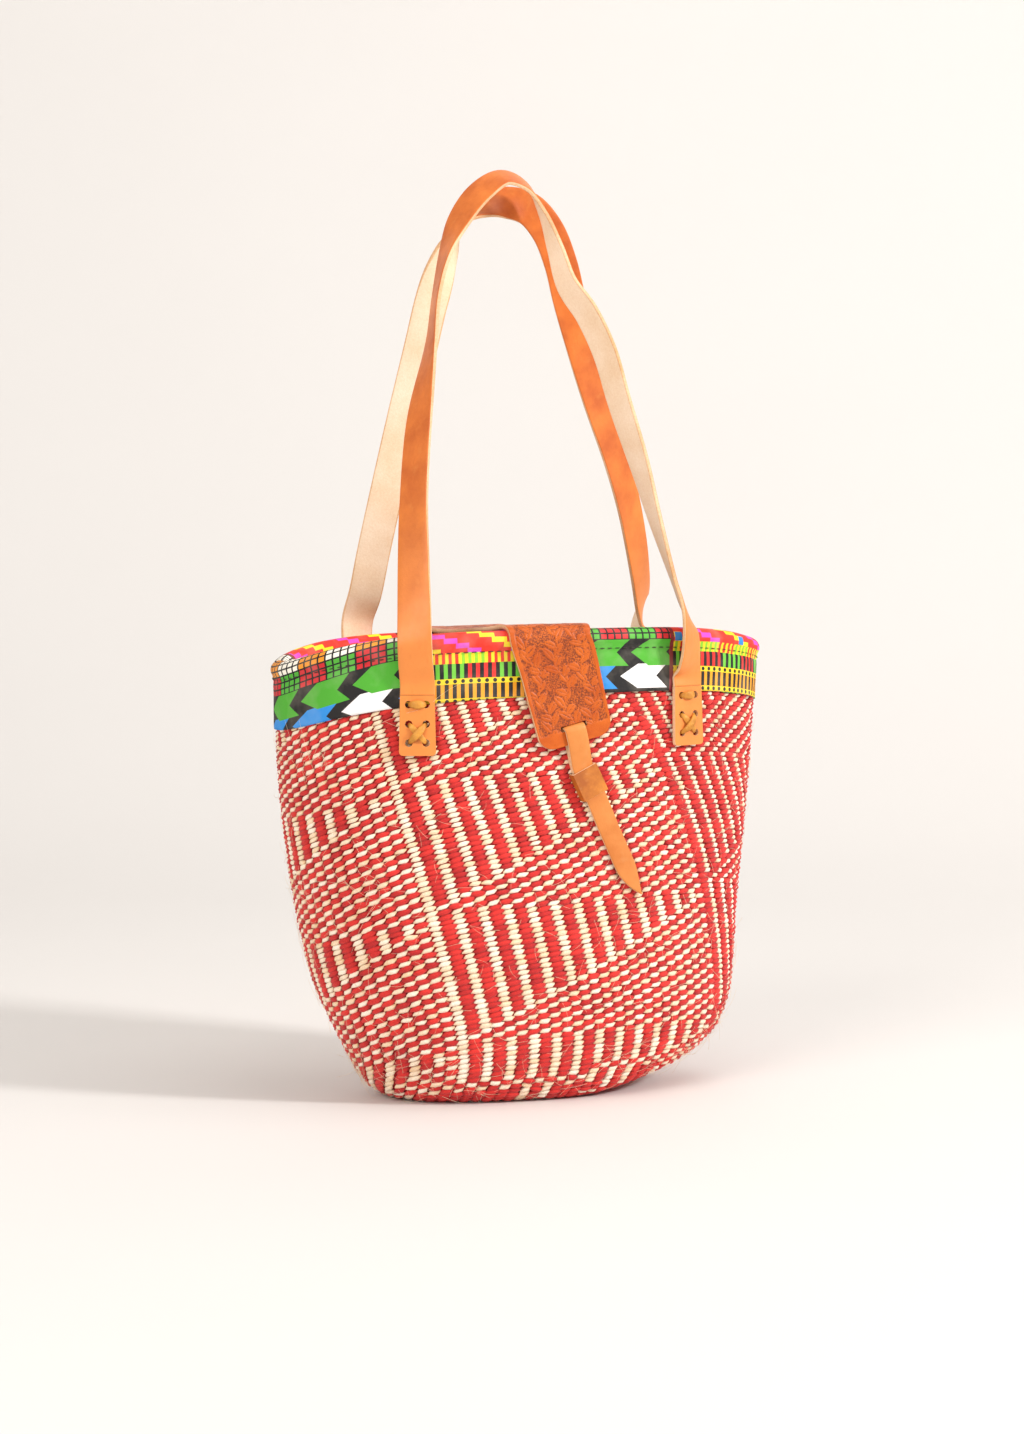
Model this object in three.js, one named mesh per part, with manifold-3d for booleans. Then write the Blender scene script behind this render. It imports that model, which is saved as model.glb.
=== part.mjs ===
// Woven shoulder bag: a twined basket with a printed rolled rim, two laced leather handles,
// and a leather flap that a narrow strip and a keeper hold shut.
// Millimetres, +Z up. The front of the bag faces -Y and its long side runs along X.
import * as THREE from "three";
import { mergeVertices } from "three/addons/utils/BufferGeometryUtils.js";
import Module from "manifold-3d";

const wasm = await Module();
wasm.setup();

// Basket sizes
const mouthHalfWidth = 171.5;
const mouthHalfDepth = 80;
const bagHeight = 319;
const wallThickness = 5;
const rimBackDrop = 5.5;
const leftCornerDroop = 17;
const rightCornerDroop = 12;
const baseLift = 16;
const baseLiftStart = 20;
const baseLiftEnd = 130;

// Cloth and rim sizes
const clothThickness = 1.2;
const liningThickness = 0.8;
const rimCordRadius = 5;
const rimCordSetIn = 3;
const bandDrop = 43;
const bandDropLean = 3;
const bandInnerDrop = 38;
const seatGap = 0.3;
const floorGap = 0.9;
const laceInsideGap = 0.7;

// Handle sizes
const strapWidth = 23;
const strapThickness = 2.8;
const strapEndFlare = 1.5;
const strapCornerRadius = 3;
const frontLeftInset = 73.5;
const frontRightInset = 78.5;
const backLeftInset = 81.5;
const backRightInset = 57.5;
const bendDrop = 39;
const strapEndLength = 40;
const strapStraight = 8;
const bendGap = 0.4;
const frontHandleRise = 345;
const backHandleRise = 335;
const strapSeat = 2;

// Lacing sizes
const holeRadius = 2.6;
const holeSpacing = 11.5;
const upperHoleDrop = 6;
const middleHoleDrop = 19;
const lowerHoleDrop = 31.5;
const thongWidth = 3;
const thongThickness = 2.2;

// Flap sizes
const flapThickness = 3;
const flapBackX = -20;
const flapFrontX = -9.5;
const flapBackWidth = 62;
const flapRimWidth = 58;
const flapEndWidth = 50;
const flapHingeDrop = 16;
const flapTabLength = 42;
const flapStraight = 2.5;
const flapTabCorner = 8;
const flapLaceInsideGap = 1.7;
const flapHoleDrop = 34;
const flapHoleInset = 10;
const flapEndDrop = 74.5;
const flapCorner = 9;
const flapHang = 5;
const flapArch = 5;
const flapLean = 13.4;

// Closing strip and keeper sizes
const slitDrop = 65.6;
const slitWidth = 19.5;
const slitHeight = 3.4;
const stripWidth = 15;
const stripThickness = 2.2;
const stripBackOut = 1.8;
const stripFrontOut = 7.9;
const stripKeptOut = 4.4;
const tongueOut = 2.8;
const keeperDistance = 27;
const keeperLength = 20;
const keeperThickness = 1.6;
const keeperFoot = 6;
const keeperFootGap = 1.6;
const tongueLean = 25.3;
const tongueLength = 96;
const tongueTaper = 24;
const tongueTipShift = 3;
const turnRise = 1.7;

// Mesh steps, and the overrun of every cut
const aroundSteps = 44;
const handleSteps = 68;
const cornerSteps = 4;
const overrun = 12;
const probe = 0.001;

// Shape of the wall, from the ground to the rim, as shares of the mouth's sizes
const roundness = 2.15;
const heightShares = [0, 0.0094, 0.0345, 0.0815, 0.166, 0.266, 0.395, 0.542, 0.74, 0.909, 1];
const widthShares = [0.571, 0.63, 0.694, 0.764, 0.831, 0.88, 0.9125, 0.9475, 0.9825, 0.997, 1];
const depthShares = [0.525, 0.625, 0.7125, 0.8, 0.9125, 1, 1.0625, 1.075, 1.05, 1.0125, 1];
const shiftShares = [0.047, 0.047, 0.052, 0.064, 0.052, 0.023, 0, -0.009, -0.012, -0.006, -0.006];
const baseRingShare = 0.5;

// Places down the printed band, over the flap and along the strip's tongue, as shares of their lengths
const bandStepShare = 0.65;
const flapAcrossShares = [0.25, 0.5, 0.75];
const flapDropShares = [0.27, 0.54, 0.74, 0.89, 0.946, 0.983, 1];
const tongueShares = [0.1, 0.3, 0.5, 0.65, 0.8, 0.9, 1];
const tonguePower = 1.6;

// Routes of the handles from left to right: shares across, in depth and up, then the way the
// grain side faces as degrees round from the front and degrees up
const frontRouteShares = [
  [-1.02, -0.94, 0.06, -24, 0],
  [-1.03, -0.95, 0.107, -28, 0],
  [-1.01, -0.87, 0.164, -34, 0],
  [-0.97, -0.71, 0.25, -44, 0],
  [-0.93, -0.575, 0.366, -56, 0],
  [-0.855, -0.45, 0.519, -64, 0],
  [-0.73, -0.33, 0.674, -92, 0],
  [-0.665, -0.25, 0.77, -97, 2],
  [-0.58, -0.2, 0.85, -88, 8],
  [-0.47, -0.18, 0.914, -65, 25],
  [-0.32, -0.165, 0.965, -50, 42],
  [-0.14, -0.15, 0.994, -40, 60],
  [0.03, -0.15, 0.977, 45, 62],
  [0.15, -0.16, 0.925, 80, 35],
  [0.235, -0.19, 0.856, 95, 12],
  [0.31, -0.225, 0.787, 104, 3],
  [0.445, -0.275, 0.729, 108, 0],
  [0.56, -0.34, 0.654, 110, 0],
  [0.645, -0.425, 0.556, 108, 0],
  [0.76, -0.525, 0.438, 100, 0],
  [0.865, -0.61, 0.32, 85, 0],
  [0.96, -0.79, 0.193, 66, 0],
  [0.99, -1.01, 0.115, 48, 0],
  [1, -0.98, 0.055, 34, 0],
];
const backRouteShares = [
  [-1.01, 1.01, 0.095, -170, 0],
  [-1.01, 1, 0.14, -178, 0],
  [-0.99, 0.85, 0.2, -192, 0],
  [-0.96, 0.74, 0.284, -198, 0],
  [-0.91, 0.61, 0.394, -200, 0],
  [-0.81, 0.475, 0.564, -200, 0],
  [-0.725, 0.34, 0.707, -200, 0],
  [-0.667, 0.25, 0.806, -195, 0],
  [-0.58, 0.19, 0.9, -150, 12],
  [-0.47, 0.165, 0.96, -100, 38],
  [-0.33, 0.15, 0.99, -50, 38],
  [-0.18, 0.14, 1, -24, 18],
  [-0.02, 0.13, 0.988, -16, 6],
  [0.11, 0.13, 0.946, -12, 0],
  [0.21, 0.15, 0.88, -12, 0],
  [0.285, 0.19, 0.806, -14, 0],
  [0.39, 0.26, 0.719, -6, 0],
  [0.55, 0.385, 0.597, 10, 0],
  [0.725, 0.525, 0.48, 20, 0],
  [0.855, 0.625, 0.373, 26, 0],
  [0.96, 0.73, 0.254, 33, 0],
  [1.03, 0.875, 0.17, 46, 0],
  [1.05, 1.01, 0.115, 92, 0],
];

const up = new THREE.Vector3(0, 0, 1);
const bandOut = seatGap + clothThickness;
const liningIn = wallThickness + seatGap + liningThickness;
const bandIn = liningIn + seatGap + clothThickness;
const rollRadius = rimCordRadius + seatGap + clothThickness;
const wallTopDrop = rollRadius + rimCordRadius + seatGap;
const radians = THREE.MathUtils.degToRad;

// The value of a table of shares at a height share, on a smooth curve through its entries
function shareAt(table, height) {
  let i = 0;
  while (i < heightShares.length - 2 && height > heightShares[i + 1]) i += 1;
  const slope = (k) => {
    const low = Math.max(k - 1, 0);
    const high = Math.min(k + 1, table.length - 1);
    return (table[high] - table[low]) / (heightShares[high] - heightShares[low]);
  };
  const step = heightShares[i + 1] - heightShares[i];
  const t = (height - heightShares[i]) / step;
  const rest = 1 - t;
  const ends = table[i] * rest * rest * (1 + 2 * t) + table[i + 1] * t * t * (3 - 2 * t);
  return ends + step * t * rest * (slope(i) * rest - slope(i + 1) * t);
}

function powered(value, power) {
  return Math.sign(value) * Math.abs(value) ** power;
}

// Height of the rim's top over a place, with its tilt and its drooping corners
function rimHeight(x, y) {
  const droop = x < 0 ? leftCornerDroop : rightCornerDroop;
  return bagHeight - (rimBackDrop * y) / mouthHalfDepth - droop * (x / mouthHalfWidth) ** 4;
}

// A point on the outside of the wall at an angle round the bag and a share of its height
function wallPoint(angle, height) {
  const across = mouthHalfWidth * shareAt(widthShares, height);
  const deep = mouthHalfDepth * shareAt(depthShares, height);
  const x = mouthHalfWidth * shareAt(shiftShares, height) + across * powered(Math.cos(angle), 2 / roundness);
  const y = deep * powered(Math.sin(angle), 2 / roundness);
  const lift = baseLift * THREE.MathUtils.smoothstep(x, baseLiftStart, baseLiftEnd) * (1 - height) ** 4;
  return new THREE.Vector3(x, y, height * rimHeight(x, y) + lift);
}

function wallNormal(angle, height) {
  const round = wallPoint(angle + probe, height).sub(wallPoint(angle - probe, height));
  const low = Math.max(height - probe, 0);
  const high = Math.min(height + probe, 1);
  const rise = wallPoint(angle, high).sub(wallPoint(angle, low));
  return round.cross(rise).normalize();
}

function offWall(angle, height, outward) {
  return wallPoint(angle, height).addScaledVector(wallNormal(angle, height), outward);
}

function dropShare(drop) {
  return 1 - drop / bagHeight;
}

// The wall's own axes at a place x across, a drop below the rim, on the front or the back
function wallFrame(x, drop, front) {
  const height = dropShare(drop);
  const across = mouthHalfWidth * shareAt(widthShares, height);
  const turn = powered((x - mouthHalfWidth * shareAt(shiftShares, height)) / across, roundness / 2);
  const angle = front ? -Math.acos(turn) : Math.acos(turn);
  const normal = wallNormal(angle, height);
  const side = new THREE.Vector3().crossVectors(up, normal).normalize();
  const rise = new THREE.Vector3().crossVectors(normal, side);
  return { origin: wallPoint(angle, height), side, rise, normal };
}

// A frame turned in the wall's plane, so that its own down leans towards +X by some degrees
function leaned(frame, degrees) {
  const turn = new THREE.Quaternion().setFromAxisAngle(frame.normal, radians(degrees));
  return {
    origin: frame.origin.clone(),
    side: frame.side.clone().applyQuaternion(turn),
    rise: frame.rise.clone().applyQuaternion(turn),
    normal: frame.normal.clone(),
  };
}

function frameMatrix(frame) {
  return new THREE.Matrix4().makeBasis(frame.side, frame.rise, frame.normal).setPosition(frame.origin);
}

// A closed mesh through rings of points. Rings close on a centre at each end, on flat ends, or in a loop
function ringSolid(rings, ending, centres = []) {
  const count = rings[0].length;
  const points = rings.flat().concat(centres);
  const index = [];
  const spans = ending === "loop" ? rings.length : rings.length - 1;
  for (let i = 0; i < spans; i += 1) {
    const here = i * count;
    const next = ((i + 1) % rings.length) * count;
    for (let j = 0; j < count; j += 1) {
      const k = (j + 1) % count;
      index.push(here + j, here + k, next + k, here + j, next + k, next + j);
    }
  }
  const last = (rings.length - 1) * count;
  if (ending === "centres") {
    const first = rings.length * count;
    for (let j = 0; j < count; j += 1) {
      const k = (j + 1) % count;
      index.push(first, k, j, first + 1, last + j, last + k);
    }
  }
  if (ending === "flat") {
    for (let j = 1; j < count - 1; j += 1) {
      index.push(0, j + 1, j, last, last + j, last + j + 1);
    }
  }
  const geometry = new THREE.BufferGeometry().setFromPoints(points);
  geometry.setIndex(index);
  return geometry;
}

function solidOf(geometry) {
  const bare = geometry.clone();
  bare.deleteAttribute("normal");
  bare.deleteAttribute("uv");
  const merged = mergeVertices(bare);
  const vertProperties = new Float32Array(merged.attributes.position.array);
  const triVerts = new Uint32Array(merged.index.array);
  return new wasm.Manifold(new wasm.Mesh({ numProp: 3, vertProperties, triVerts }));
}

function geometryOf(solid) {
  const mesh = solid.getMesh();
  const geometry = new THREE.BufferGeometry();
  geometry.setAttribute("position", new THREE.BufferAttribute(new Float32Array(mesh.vertProperties), 3));
  geometry.setIndex(new THREE.BufferAttribute(new Uint32Array(mesh.triVerts), 1));
  return geometry;
}

function boxSolid(low, high, matrix = new THREE.Matrix4()) {
  const size = high.map((value, k) => value - low[k]);
  const middle = high.map((value, k) => (value + low[k]) / 2);
  const box = new THREE.BoxGeometry(...size).translate(...middle).applyMatrix4(matrix);
  return solidOf(box);
}

function joined(solids) {
  return solids.reduce((whole, one) => whole.add(one));
}

function ringAt(height, outward) {
  const ring = [];
  for (let j = 0; j < aroundSteps; j += 1) {
    ring.push(offWall((2 * Math.PI * j) / aroundSteps, height, outward));
  }
  return ring;
}

// The middle of the base, on the ground or raised by a floor's thickness
function baseRing(share, raise) {
  const centre = baseCentre(raise);
  return ringAt(0, 0).map((point) => {
    const spot = centre.clone().lerp(point, share);
    const lift = baseLift * THREE.MathUtils.smoothstep(spot.x, baseLiftStart, baseLiftEnd);
    spot.z = lift + raise;
    return spot;
  });
}

function baseCentre(raise) {
  return new THREE.Vector3(mouthHalfWidth * shiftShares[0], 0, raise);
}

// A bag-shaped shell between two offsets from the wall's outside, open at a drop below the rim
function bagShell(outer, inner, topDrop, raise) {
  const top = dropShare(topDrop);
  const levels = heightShares.filter((share) => share < top - probe).concat(top);
  const rings = [baseRing(baseRingShare, raise - outer), ...levels.map((level) => ringAt(level, outer))];
  rings.push(...levels.reverse().map((level) => ringAt(level, inner)));
  rings.push(baseRing(baseRingShare, raise - inner));
  return ringSolid(rings, "centres", [baseCentre(raise - outer), baseCentre(raise - inner)]);
}

// Places of the six lace holes in a strap end, from its middle
const holeRows = [upperHoleDrop, middleHoleDrop, lowerHoleDrop].map((drop) => strapEndLength / 2 - drop);
const endHoles = holeRows.flatMap((row) => [[-holeSpacing / 2, row], [holeSpacing / 2, row]]);
const tabHoleSides = [-1, 1].flatMap((side) => {
  const outer = side * (flapBackWidth / 2 - flapHoleInset);
  return [outer - side * holeSpacing, outer].sort((a, b) => a - b);
});
const tabHoles = tabHoleSides.map((side) => [side, flapTabLength / 2 - flapHoleDrop]);

function holePath(x, y) {
  const path = new THREE.Path();
  path.absarc(x, y, holeRadius, 0, 2 * Math.PI, true);
  return path;
}

function holeCutters(frame, holes) {
  const matrix = frameMatrix(frame);
  return holes.map(([x, y]) => {
    const prism = new THREE.CylinderGeometry(holeRadius, holeRadius, 2 * overrun, 6);
    prism.rotateX(Math.PI / 2).translate(x, y, 0).applyMatrix4(matrix);
    return solidOf(prism);
  });
}

const endMiddleDrop = bendDrop + strapEndLength / 2;
const anchors = {
  front_left: wallFrame(frontLeftInset - mouthHalfWidth, endMiddleDrop, true),
  front_right: wallFrame(mouthHalfWidth - frontRightInset, endMiddleDrop, true),
  back_left: wallFrame(backLeftInset - mouthHalfWidth, endMiddleDrop, false),
  back_right: wallFrame(mouthHalfWidth - backRightInset, endMiddleDrop, false),
};
const tabFrame = wallFrame(flapBackX, flapHingeDrop + flapTabLength / 2, false);

// The closing strip's middle line: across and drop at a distance below the slit
function stripLine(distance) {
  const bent = Math.max(distance - keeperDistance, 0);
  const straight = distance - bent;
  const slitX = flapFrontX + slitDrop * Math.tan(radians(flapLean));
  const x = slitX + straight * Math.sin(radians(flapLean)) + bent * Math.sin(radians(tongueLean));
  const drop = slitDrop + straight * Math.cos(radians(flapLean)) + bent * Math.cos(radians(tongueLean));
  return { x, drop };
}

function stripFrame(distance, degrees) {
  const { x, drop } = stripLine(distance);
  return leaned(wallFrame(x, drop, true), degrees);
}

const keeperFrame = stripFrame(keeperDistance + keeperLength / 2, tongueLean);
const keeperInnerHalf = stripWidth / 2 + seatGap;
const keeperOuterHalf = keeperInnerHalf + keeperThickness;

function keeperSlots() {
  return [-1, 1].map((side) => {
    const inner = side * (keeperInnerHalf - seatGap);
    const outer = side * (keeperOuterHalf + seatGap);
    const reach = keeperLength / 2 + seatGap;
    const low = [Math.min(inner, outer), -reach, -overrun];
    const high = [Math.max(inner, outer), reach, overrun];
    return boxSolid(low, high, frameMatrix(keeperFrame));
  });
}

const wallCutter = joined([
  ...Object.values(anchors).flatMap((frame) => holeCutters(frame, endHoles)),
  ...holeCutters(tabFrame, tabHoles),
  ...keeperSlots(),
]);

function makeWovenBody() {
  const shell = bagShell(0, -wallThickness, wallTopDrop, 0);
  return geometryOf(solidOf(shell).subtract(wallCutter));
}

function makeLining() {
  const shell = bagShell(-wallThickness - seatGap, -liningIn, wallTopDrop + clothThickness, floorGap);
  return geometryOf(solidOf(shell).subtract(wallCutter));
}

// A loop round the rim whose section is a list of drops below the rim and outward offsets
function rimLoop(section) {
  const rings = section.map(([drop, outward]) => {
    return Array.from({ length: aroundSteps }, (_, j) => {
      const angle = (2 * Math.PI * j) / aroundSteps;
      const depth = typeof drop === "function" ? drop(angle) : drop;
      return offWall(angle, dropShare(Math.max(depth, 0)), outward).addScaledVector(up, Math.max(-depth, 0));
    });
  });
  return ringSolid(rings, "loop");
}

function rollPoint(radius, degrees) {
  const turn = radians(degrees);
  return [rollRadius - radius * Math.sin(turn), -rimCordSetIn + radius * Math.cos(turn)];
}

function makeRimCord() {
  const section = [0, 45, 90, 135, 180, 225, 270, 315].map((degrees) => rollPoint(rimCordRadius, degrees));
  return rimLoop(section);
}

// How far the printed band hangs down outside, a little further at the left
function bandEdge(share) {
  return (angle) => {
    const across = wallPoint(angle, 1).x / mouthHalfWidth;
    return share * (bandDrop + bandDropLean * (across * across - across));
  };
}

function makeRimBand() {
  const roll = [-38, 0, 35, 70, 105, 140, 180, 218];
  const turnIn = wallTopDrop + clothThickness;
  const section = [
    [bandEdge(1), bandOut],
    [bandEdge(bandStepShare), bandOut],
    [turnIn, bandOut],
    ...roll.map((degrees) => rollPoint(rollRadius, degrees)),
    [turnIn, -bandIn],
    [bandInnerDrop, -bandIn],
    [bandInnerDrop, -bandIn + clothThickness],
    [turnIn, -bandIn + clothThickness],
    ...roll.reverse().map((degrees) => rollPoint(rollRadius - clothThickness, degrees)),
    [turnIn, seatGap],
    [bandEdge(bandStepShare), seatGap],
    [bandEdge(1), seatGap],
  ];
  return geometryOf(solidOf(rimLoop(section)).subtract(wallCutter));
}

// A strip of leather through stations that give its middle, its width's way and its face's way
function ribbon(stations, thickness) {
  const rings = stations.map(({ middle, across, normal, halfWidth }) => {
    return [[1, -1], [-1, -1], [-1, 1], [1, 1]].map(([side, face]) => {
      const point = middle.clone().addScaledVector(across, side * halfWidth);
      return point.addScaledVector(normal, (face * thickness) / 2);
    });
  });
  return ringSolid(rings, "flat");
}

// Stations along a smooth curve through points, with the face's way carried along
function curveStations(points, faces, steps, halfWidth) {
  const path = new THREE.CatmullRomCurve3(points);
  const turning = new THREE.CatmullRomCurve3(faces, false, "catmullrom");
  return Array.from({ length: steps + 1 }, (_, i) => {
    const middle = path.getPoint(i / steps);
    const ahead = path.getTangent(i / steps);
    const across = new THREE.Vector3().crossVectors(ahead, turning.getPoint(i / steps)).normalize();
    const normal = new THREE.Vector3().crossVectors(across, ahead).normalize();
    return { middle, across, normal, halfWidth: halfWidth(i / steps) };
  });
}

function facing(degreesRound, degreesUp) {
  const round = radians(degreesRound);
  const rise = radians(degreesUp);
  const flat = Math.cos(rise);
  return new THREE.Vector3(flat * Math.sin(round), -flat * Math.cos(round), Math.sin(rise));
}

// Where a handle's moving leg starts, just above its laced end
function bendPoint(frame, above) {
  const point = frame.origin.clone().addScaledVector(frame.rise, strapEndLength / 2 + above);
  return point.addScaledVector(frame.normal, strapSeat + strapThickness / 2);
}

function makeHandle(left, right, routeShares, handleRise) {
  const start = bendPoint(left, bendGap);
  const end = bendPoint(right, bendGap);
  const centre = (start.x + end.x) / 2;
  const half = (end.x - start.x) / 2;
  const base = (start.z + end.z) / 2;
  const middles = routeShares.map(([acrossShare, depthShare, riseShare]) => new THREE.Vector3(
    centre + half * acrossShare,
    mouthHalfDepth * depthShare,
    base + handleRise * riseShare,
  ));
  const points = [start, bendPoint(left, strapStraight), ...middles, bendPoint(right, strapStraight), end];
  const ways = routeShares.map(([, , , round, rise]) => facing(round, rise));
  const faces = [left.normal, left.normal, ...ways, right.normal, right.normal];
  return ribbon(curveStations(points, faces, handleSteps, () => strapWidth / 2), strapThickness);
}

// A flat strap end with rounded lower corners and six lace holes
function makeStrapEnd() {
  const half = strapWidth / 2;
  const low = half + strapEndFlare / 2;
  const top = strapEndLength / 2;
  const shape = new THREE.Shape();
  shape.moveTo(-half, top);
  shape.lineTo(-low, strapCornerRadius - top);
  shape.quadraticCurveTo(-low, -top, strapCornerRadius - low, -top);
  shape.lineTo(low - strapCornerRadius, -top);
  shape.quadraticCurveTo(low, -top, low, strapCornerRadius - top);
  shape.lineTo(half, top);
  shape.closePath();
  shape.holes = endHoles.map(([x, y]) => holePath(x, y));
  const settings = { depth: strapThickness, bevelEnabled: false, curveSegments: cornerSteps };
  return new THREE.ExtrudeGeometry(shape, settings).translate(0, 0, strapSeat);
}

// A ring of thong through two holes: a bar outside, a bar inside and a leg in each hole
function makeBarLace(x0, x1, y, thickness, insideGap) {
  const inner = [x0 + thongThickness / 2, x1 - thongThickness / 2];
  const outer = [x0 - thongThickness / 2, x1 + thongThickness / 2];
  const front = strapSeat + thickness + seatGap;
  const back = -liningIn - insideGap;
  const rectangle = (path, [left, right], low, high) => {
    path.moveTo(left, low);
    path.lineTo(right, low);
    path.lineTo(right, high);
    path.lineTo(left, high);
    path.closePath();
    return path;
  };
  const shape = rectangle(new THREE.Shape(), outer, -front - thongThickness, -back + thongThickness);
  shape.holes = [rectangle(new THREE.Path(), inner, -front, -back)];
  const ring = new THREE.ExtrudeGeometry(shape, { depth: thongWidth, bevelEnabled: false });
  return ring.rotateX(-Math.PI / 2).translate(0, y - thongWidth / 2, 0);
}

// One thong crossed over the lower four holes, with its second pass over its first
function makeCrossLace() {
  const [, middle, low] = holeRows;
  const side = holeSpacing / 2;
  const under = strapSeat + strapThickness + seatGap;
  const over = under + thongThickness + seatGap;
  const inside = -liningIn - laceInsideGap;
  const half = thongThickness / 2;
  const leg = (x, y, bottom, topEdge) => {
    return boxSolid([x - half, y - half, bottom], [x + half, y + half, topEdge]);
  };
  const bar = (from, to, bottom) => {
    const run = new THREE.Vector2(to[0] - from[0], to[1] - from[1]);
    const spin = new THREE.Matrix4().makeRotationZ(run.angle());
    spin.setPosition((from[0] + to[0]) / 2, (from[1] + to[1]) / 2, 0);
    const reach = run.length() / 2 + half;
    return boxSolid([-reach, -thongWidth / 2, bottom], [reach, thongWidth / 2, bottom + thongThickness], spin);
  };
  const tail = inside - thongThickness;
  return geometryOf(joined([
    leg(-side, low, tail, over + half),
    bar([-side, low], [side, middle], over),
    leg(side, middle, tail, over + half),
    bar([side, middle], [-side, middle], tail),
    leg(-side, middle, tail, under + half),
    bar([-side, middle], [side, low], under),
    leg(side, low, tail, under + half),
  ]));
}

// The flap's fixed end on the back wall, with two pairs of lace holes
function makeFlapTab() {
  const half = flapBackWidth / 2;
  const top = flapTabLength / 2;
  const shape = new THREE.Shape();
  shape.moveTo(-half, top);
  shape.lineTo(-half, flapTabCorner - top);
  shape.quadraticCurveTo(-half, -top, flapTabCorner - half, -top);
  shape.lineTo(half - flapTabCorner, -top);
  shape.quadraticCurveTo(half, -top, half, flapTabCorner - top);
  shape.lineTo(half, top);
  shape.closePath();
  shape.holes = tabHoles.map(([x, y]) => holePath(x, y));
  const settings = { depth: flapThickness, bevelEnabled: false, curveSegments: cornerSteps };
  return new THREE.ExtrudeGeometry(shape, settings).translate(0, 0, strapSeat);
}

// Stations of the flap, from the back wall over the mouth and down the front
function flapStations() {
  const half = flapThickness / 2;
  const turnRadius = rollRadius + 2 * seatGap + half;
  const overRoll = (x, front, degrees) => {
    const frame = wallFrame(x, 0, front);
    const [drop, outward] = rollPoint(turnRadius, degrees);
    const face = frame.normal.clone().multiplyScalar(Math.cos(radians(degrees)));
    face.addScaledVector(up, Math.sin(radians(degrees)));
    const middle = frame.origin.clone().addScaledVector(frame.normal, outward);
    return { middle: middle.addScaledVector(up, -drop), face };
  };
  const hanging = (drop) => {
    const frame = wallFrame(flapFrontX + drop * Math.tan(radians(flapLean)), drop, true);
    return { middle: frame.origin.clone().addScaledVector(frame.normal, flapHang), face: frame.normal };
  };
  const onBack = (above) => {
    const middle = tabFrame.origin.clone().addScaledVector(tabFrame.rise, flapTabLength / 2 + above);
    return { middle: middle.addScaledVector(tabFrame.normal, strapSeat + half), face: tabFrame.normal };
  };
  const backTop = overRoll(flapBackX, false, 90);
  const frontTop = overRoll(flapFrontX, true, 90);
  const across = flapAcrossShares.map((share) => {
    const middle = backTop.middle.clone().lerp(frontTop.middle, share);
    return { middle: middle.addScaledVector(up, flapArch * Math.sin(Math.PI * share)), face: up };
  });
  const drops = flapDropShares.map((share) => share * flapEndDrop);
  const marks = [
    onBack(bendGap),
    onBack(flapStraight),
    overRoll(flapBackX, false, 5),
    overRoll(flapBackX, false, 50),
    backTop,
    ...across,
    frontTop,
    overRoll(flapFrontX, true, 45),
    overRoll(flapFrontX, true, 5),
    ...drops.map(hanging),
  ];
  return { marks, rimMark: marks.indexOf(frontTop) };
}

function makeFlap() {
  const { marks, rimMark } = flapStations();
  const points = marks.map((mark) => mark.middle);
  const faces = marks.map((mark) => mark.face);
  const last = points.length - 1;
  const end = points[last];
  const path = new THREE.CatmullRomCurve3(points);
  const halfWidth = (t) => {
    const place = t * last;
    const toRim = Math.min(place / rimMark, 1);
    const toEnd = Math.max((place - rimMark) / (last - rimMark), 0);
    const wide = flapBackWidth + (flapRimWidth - flapBackWidth) * toRim + (flapEndWidth - flapRimWidth) * toEnd;
    const left = Math.min(path.getPoint(t).distanceTo(end), flapCorner);
    const inset = flapCorner - Math.sqrt(flapCorner ** 2 - (flapCorner - left) ** 2);
    return wide / 2 - (t > 0.5 ? inset : 0);
  };
  const body = ribbon(curveStations(points, faces, 2 * last, halfWidth), flapThickness);
  const slit = boxSolid(
    [-slitWidth / 2, 0, -overrun],
    [slitWidth / 2, slitHeight, overrun],
    frameMatrix(stripFrame(0, flapLean)),
  );
  return geometryOf(solidOf(body).subtract(slit));
}

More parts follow.
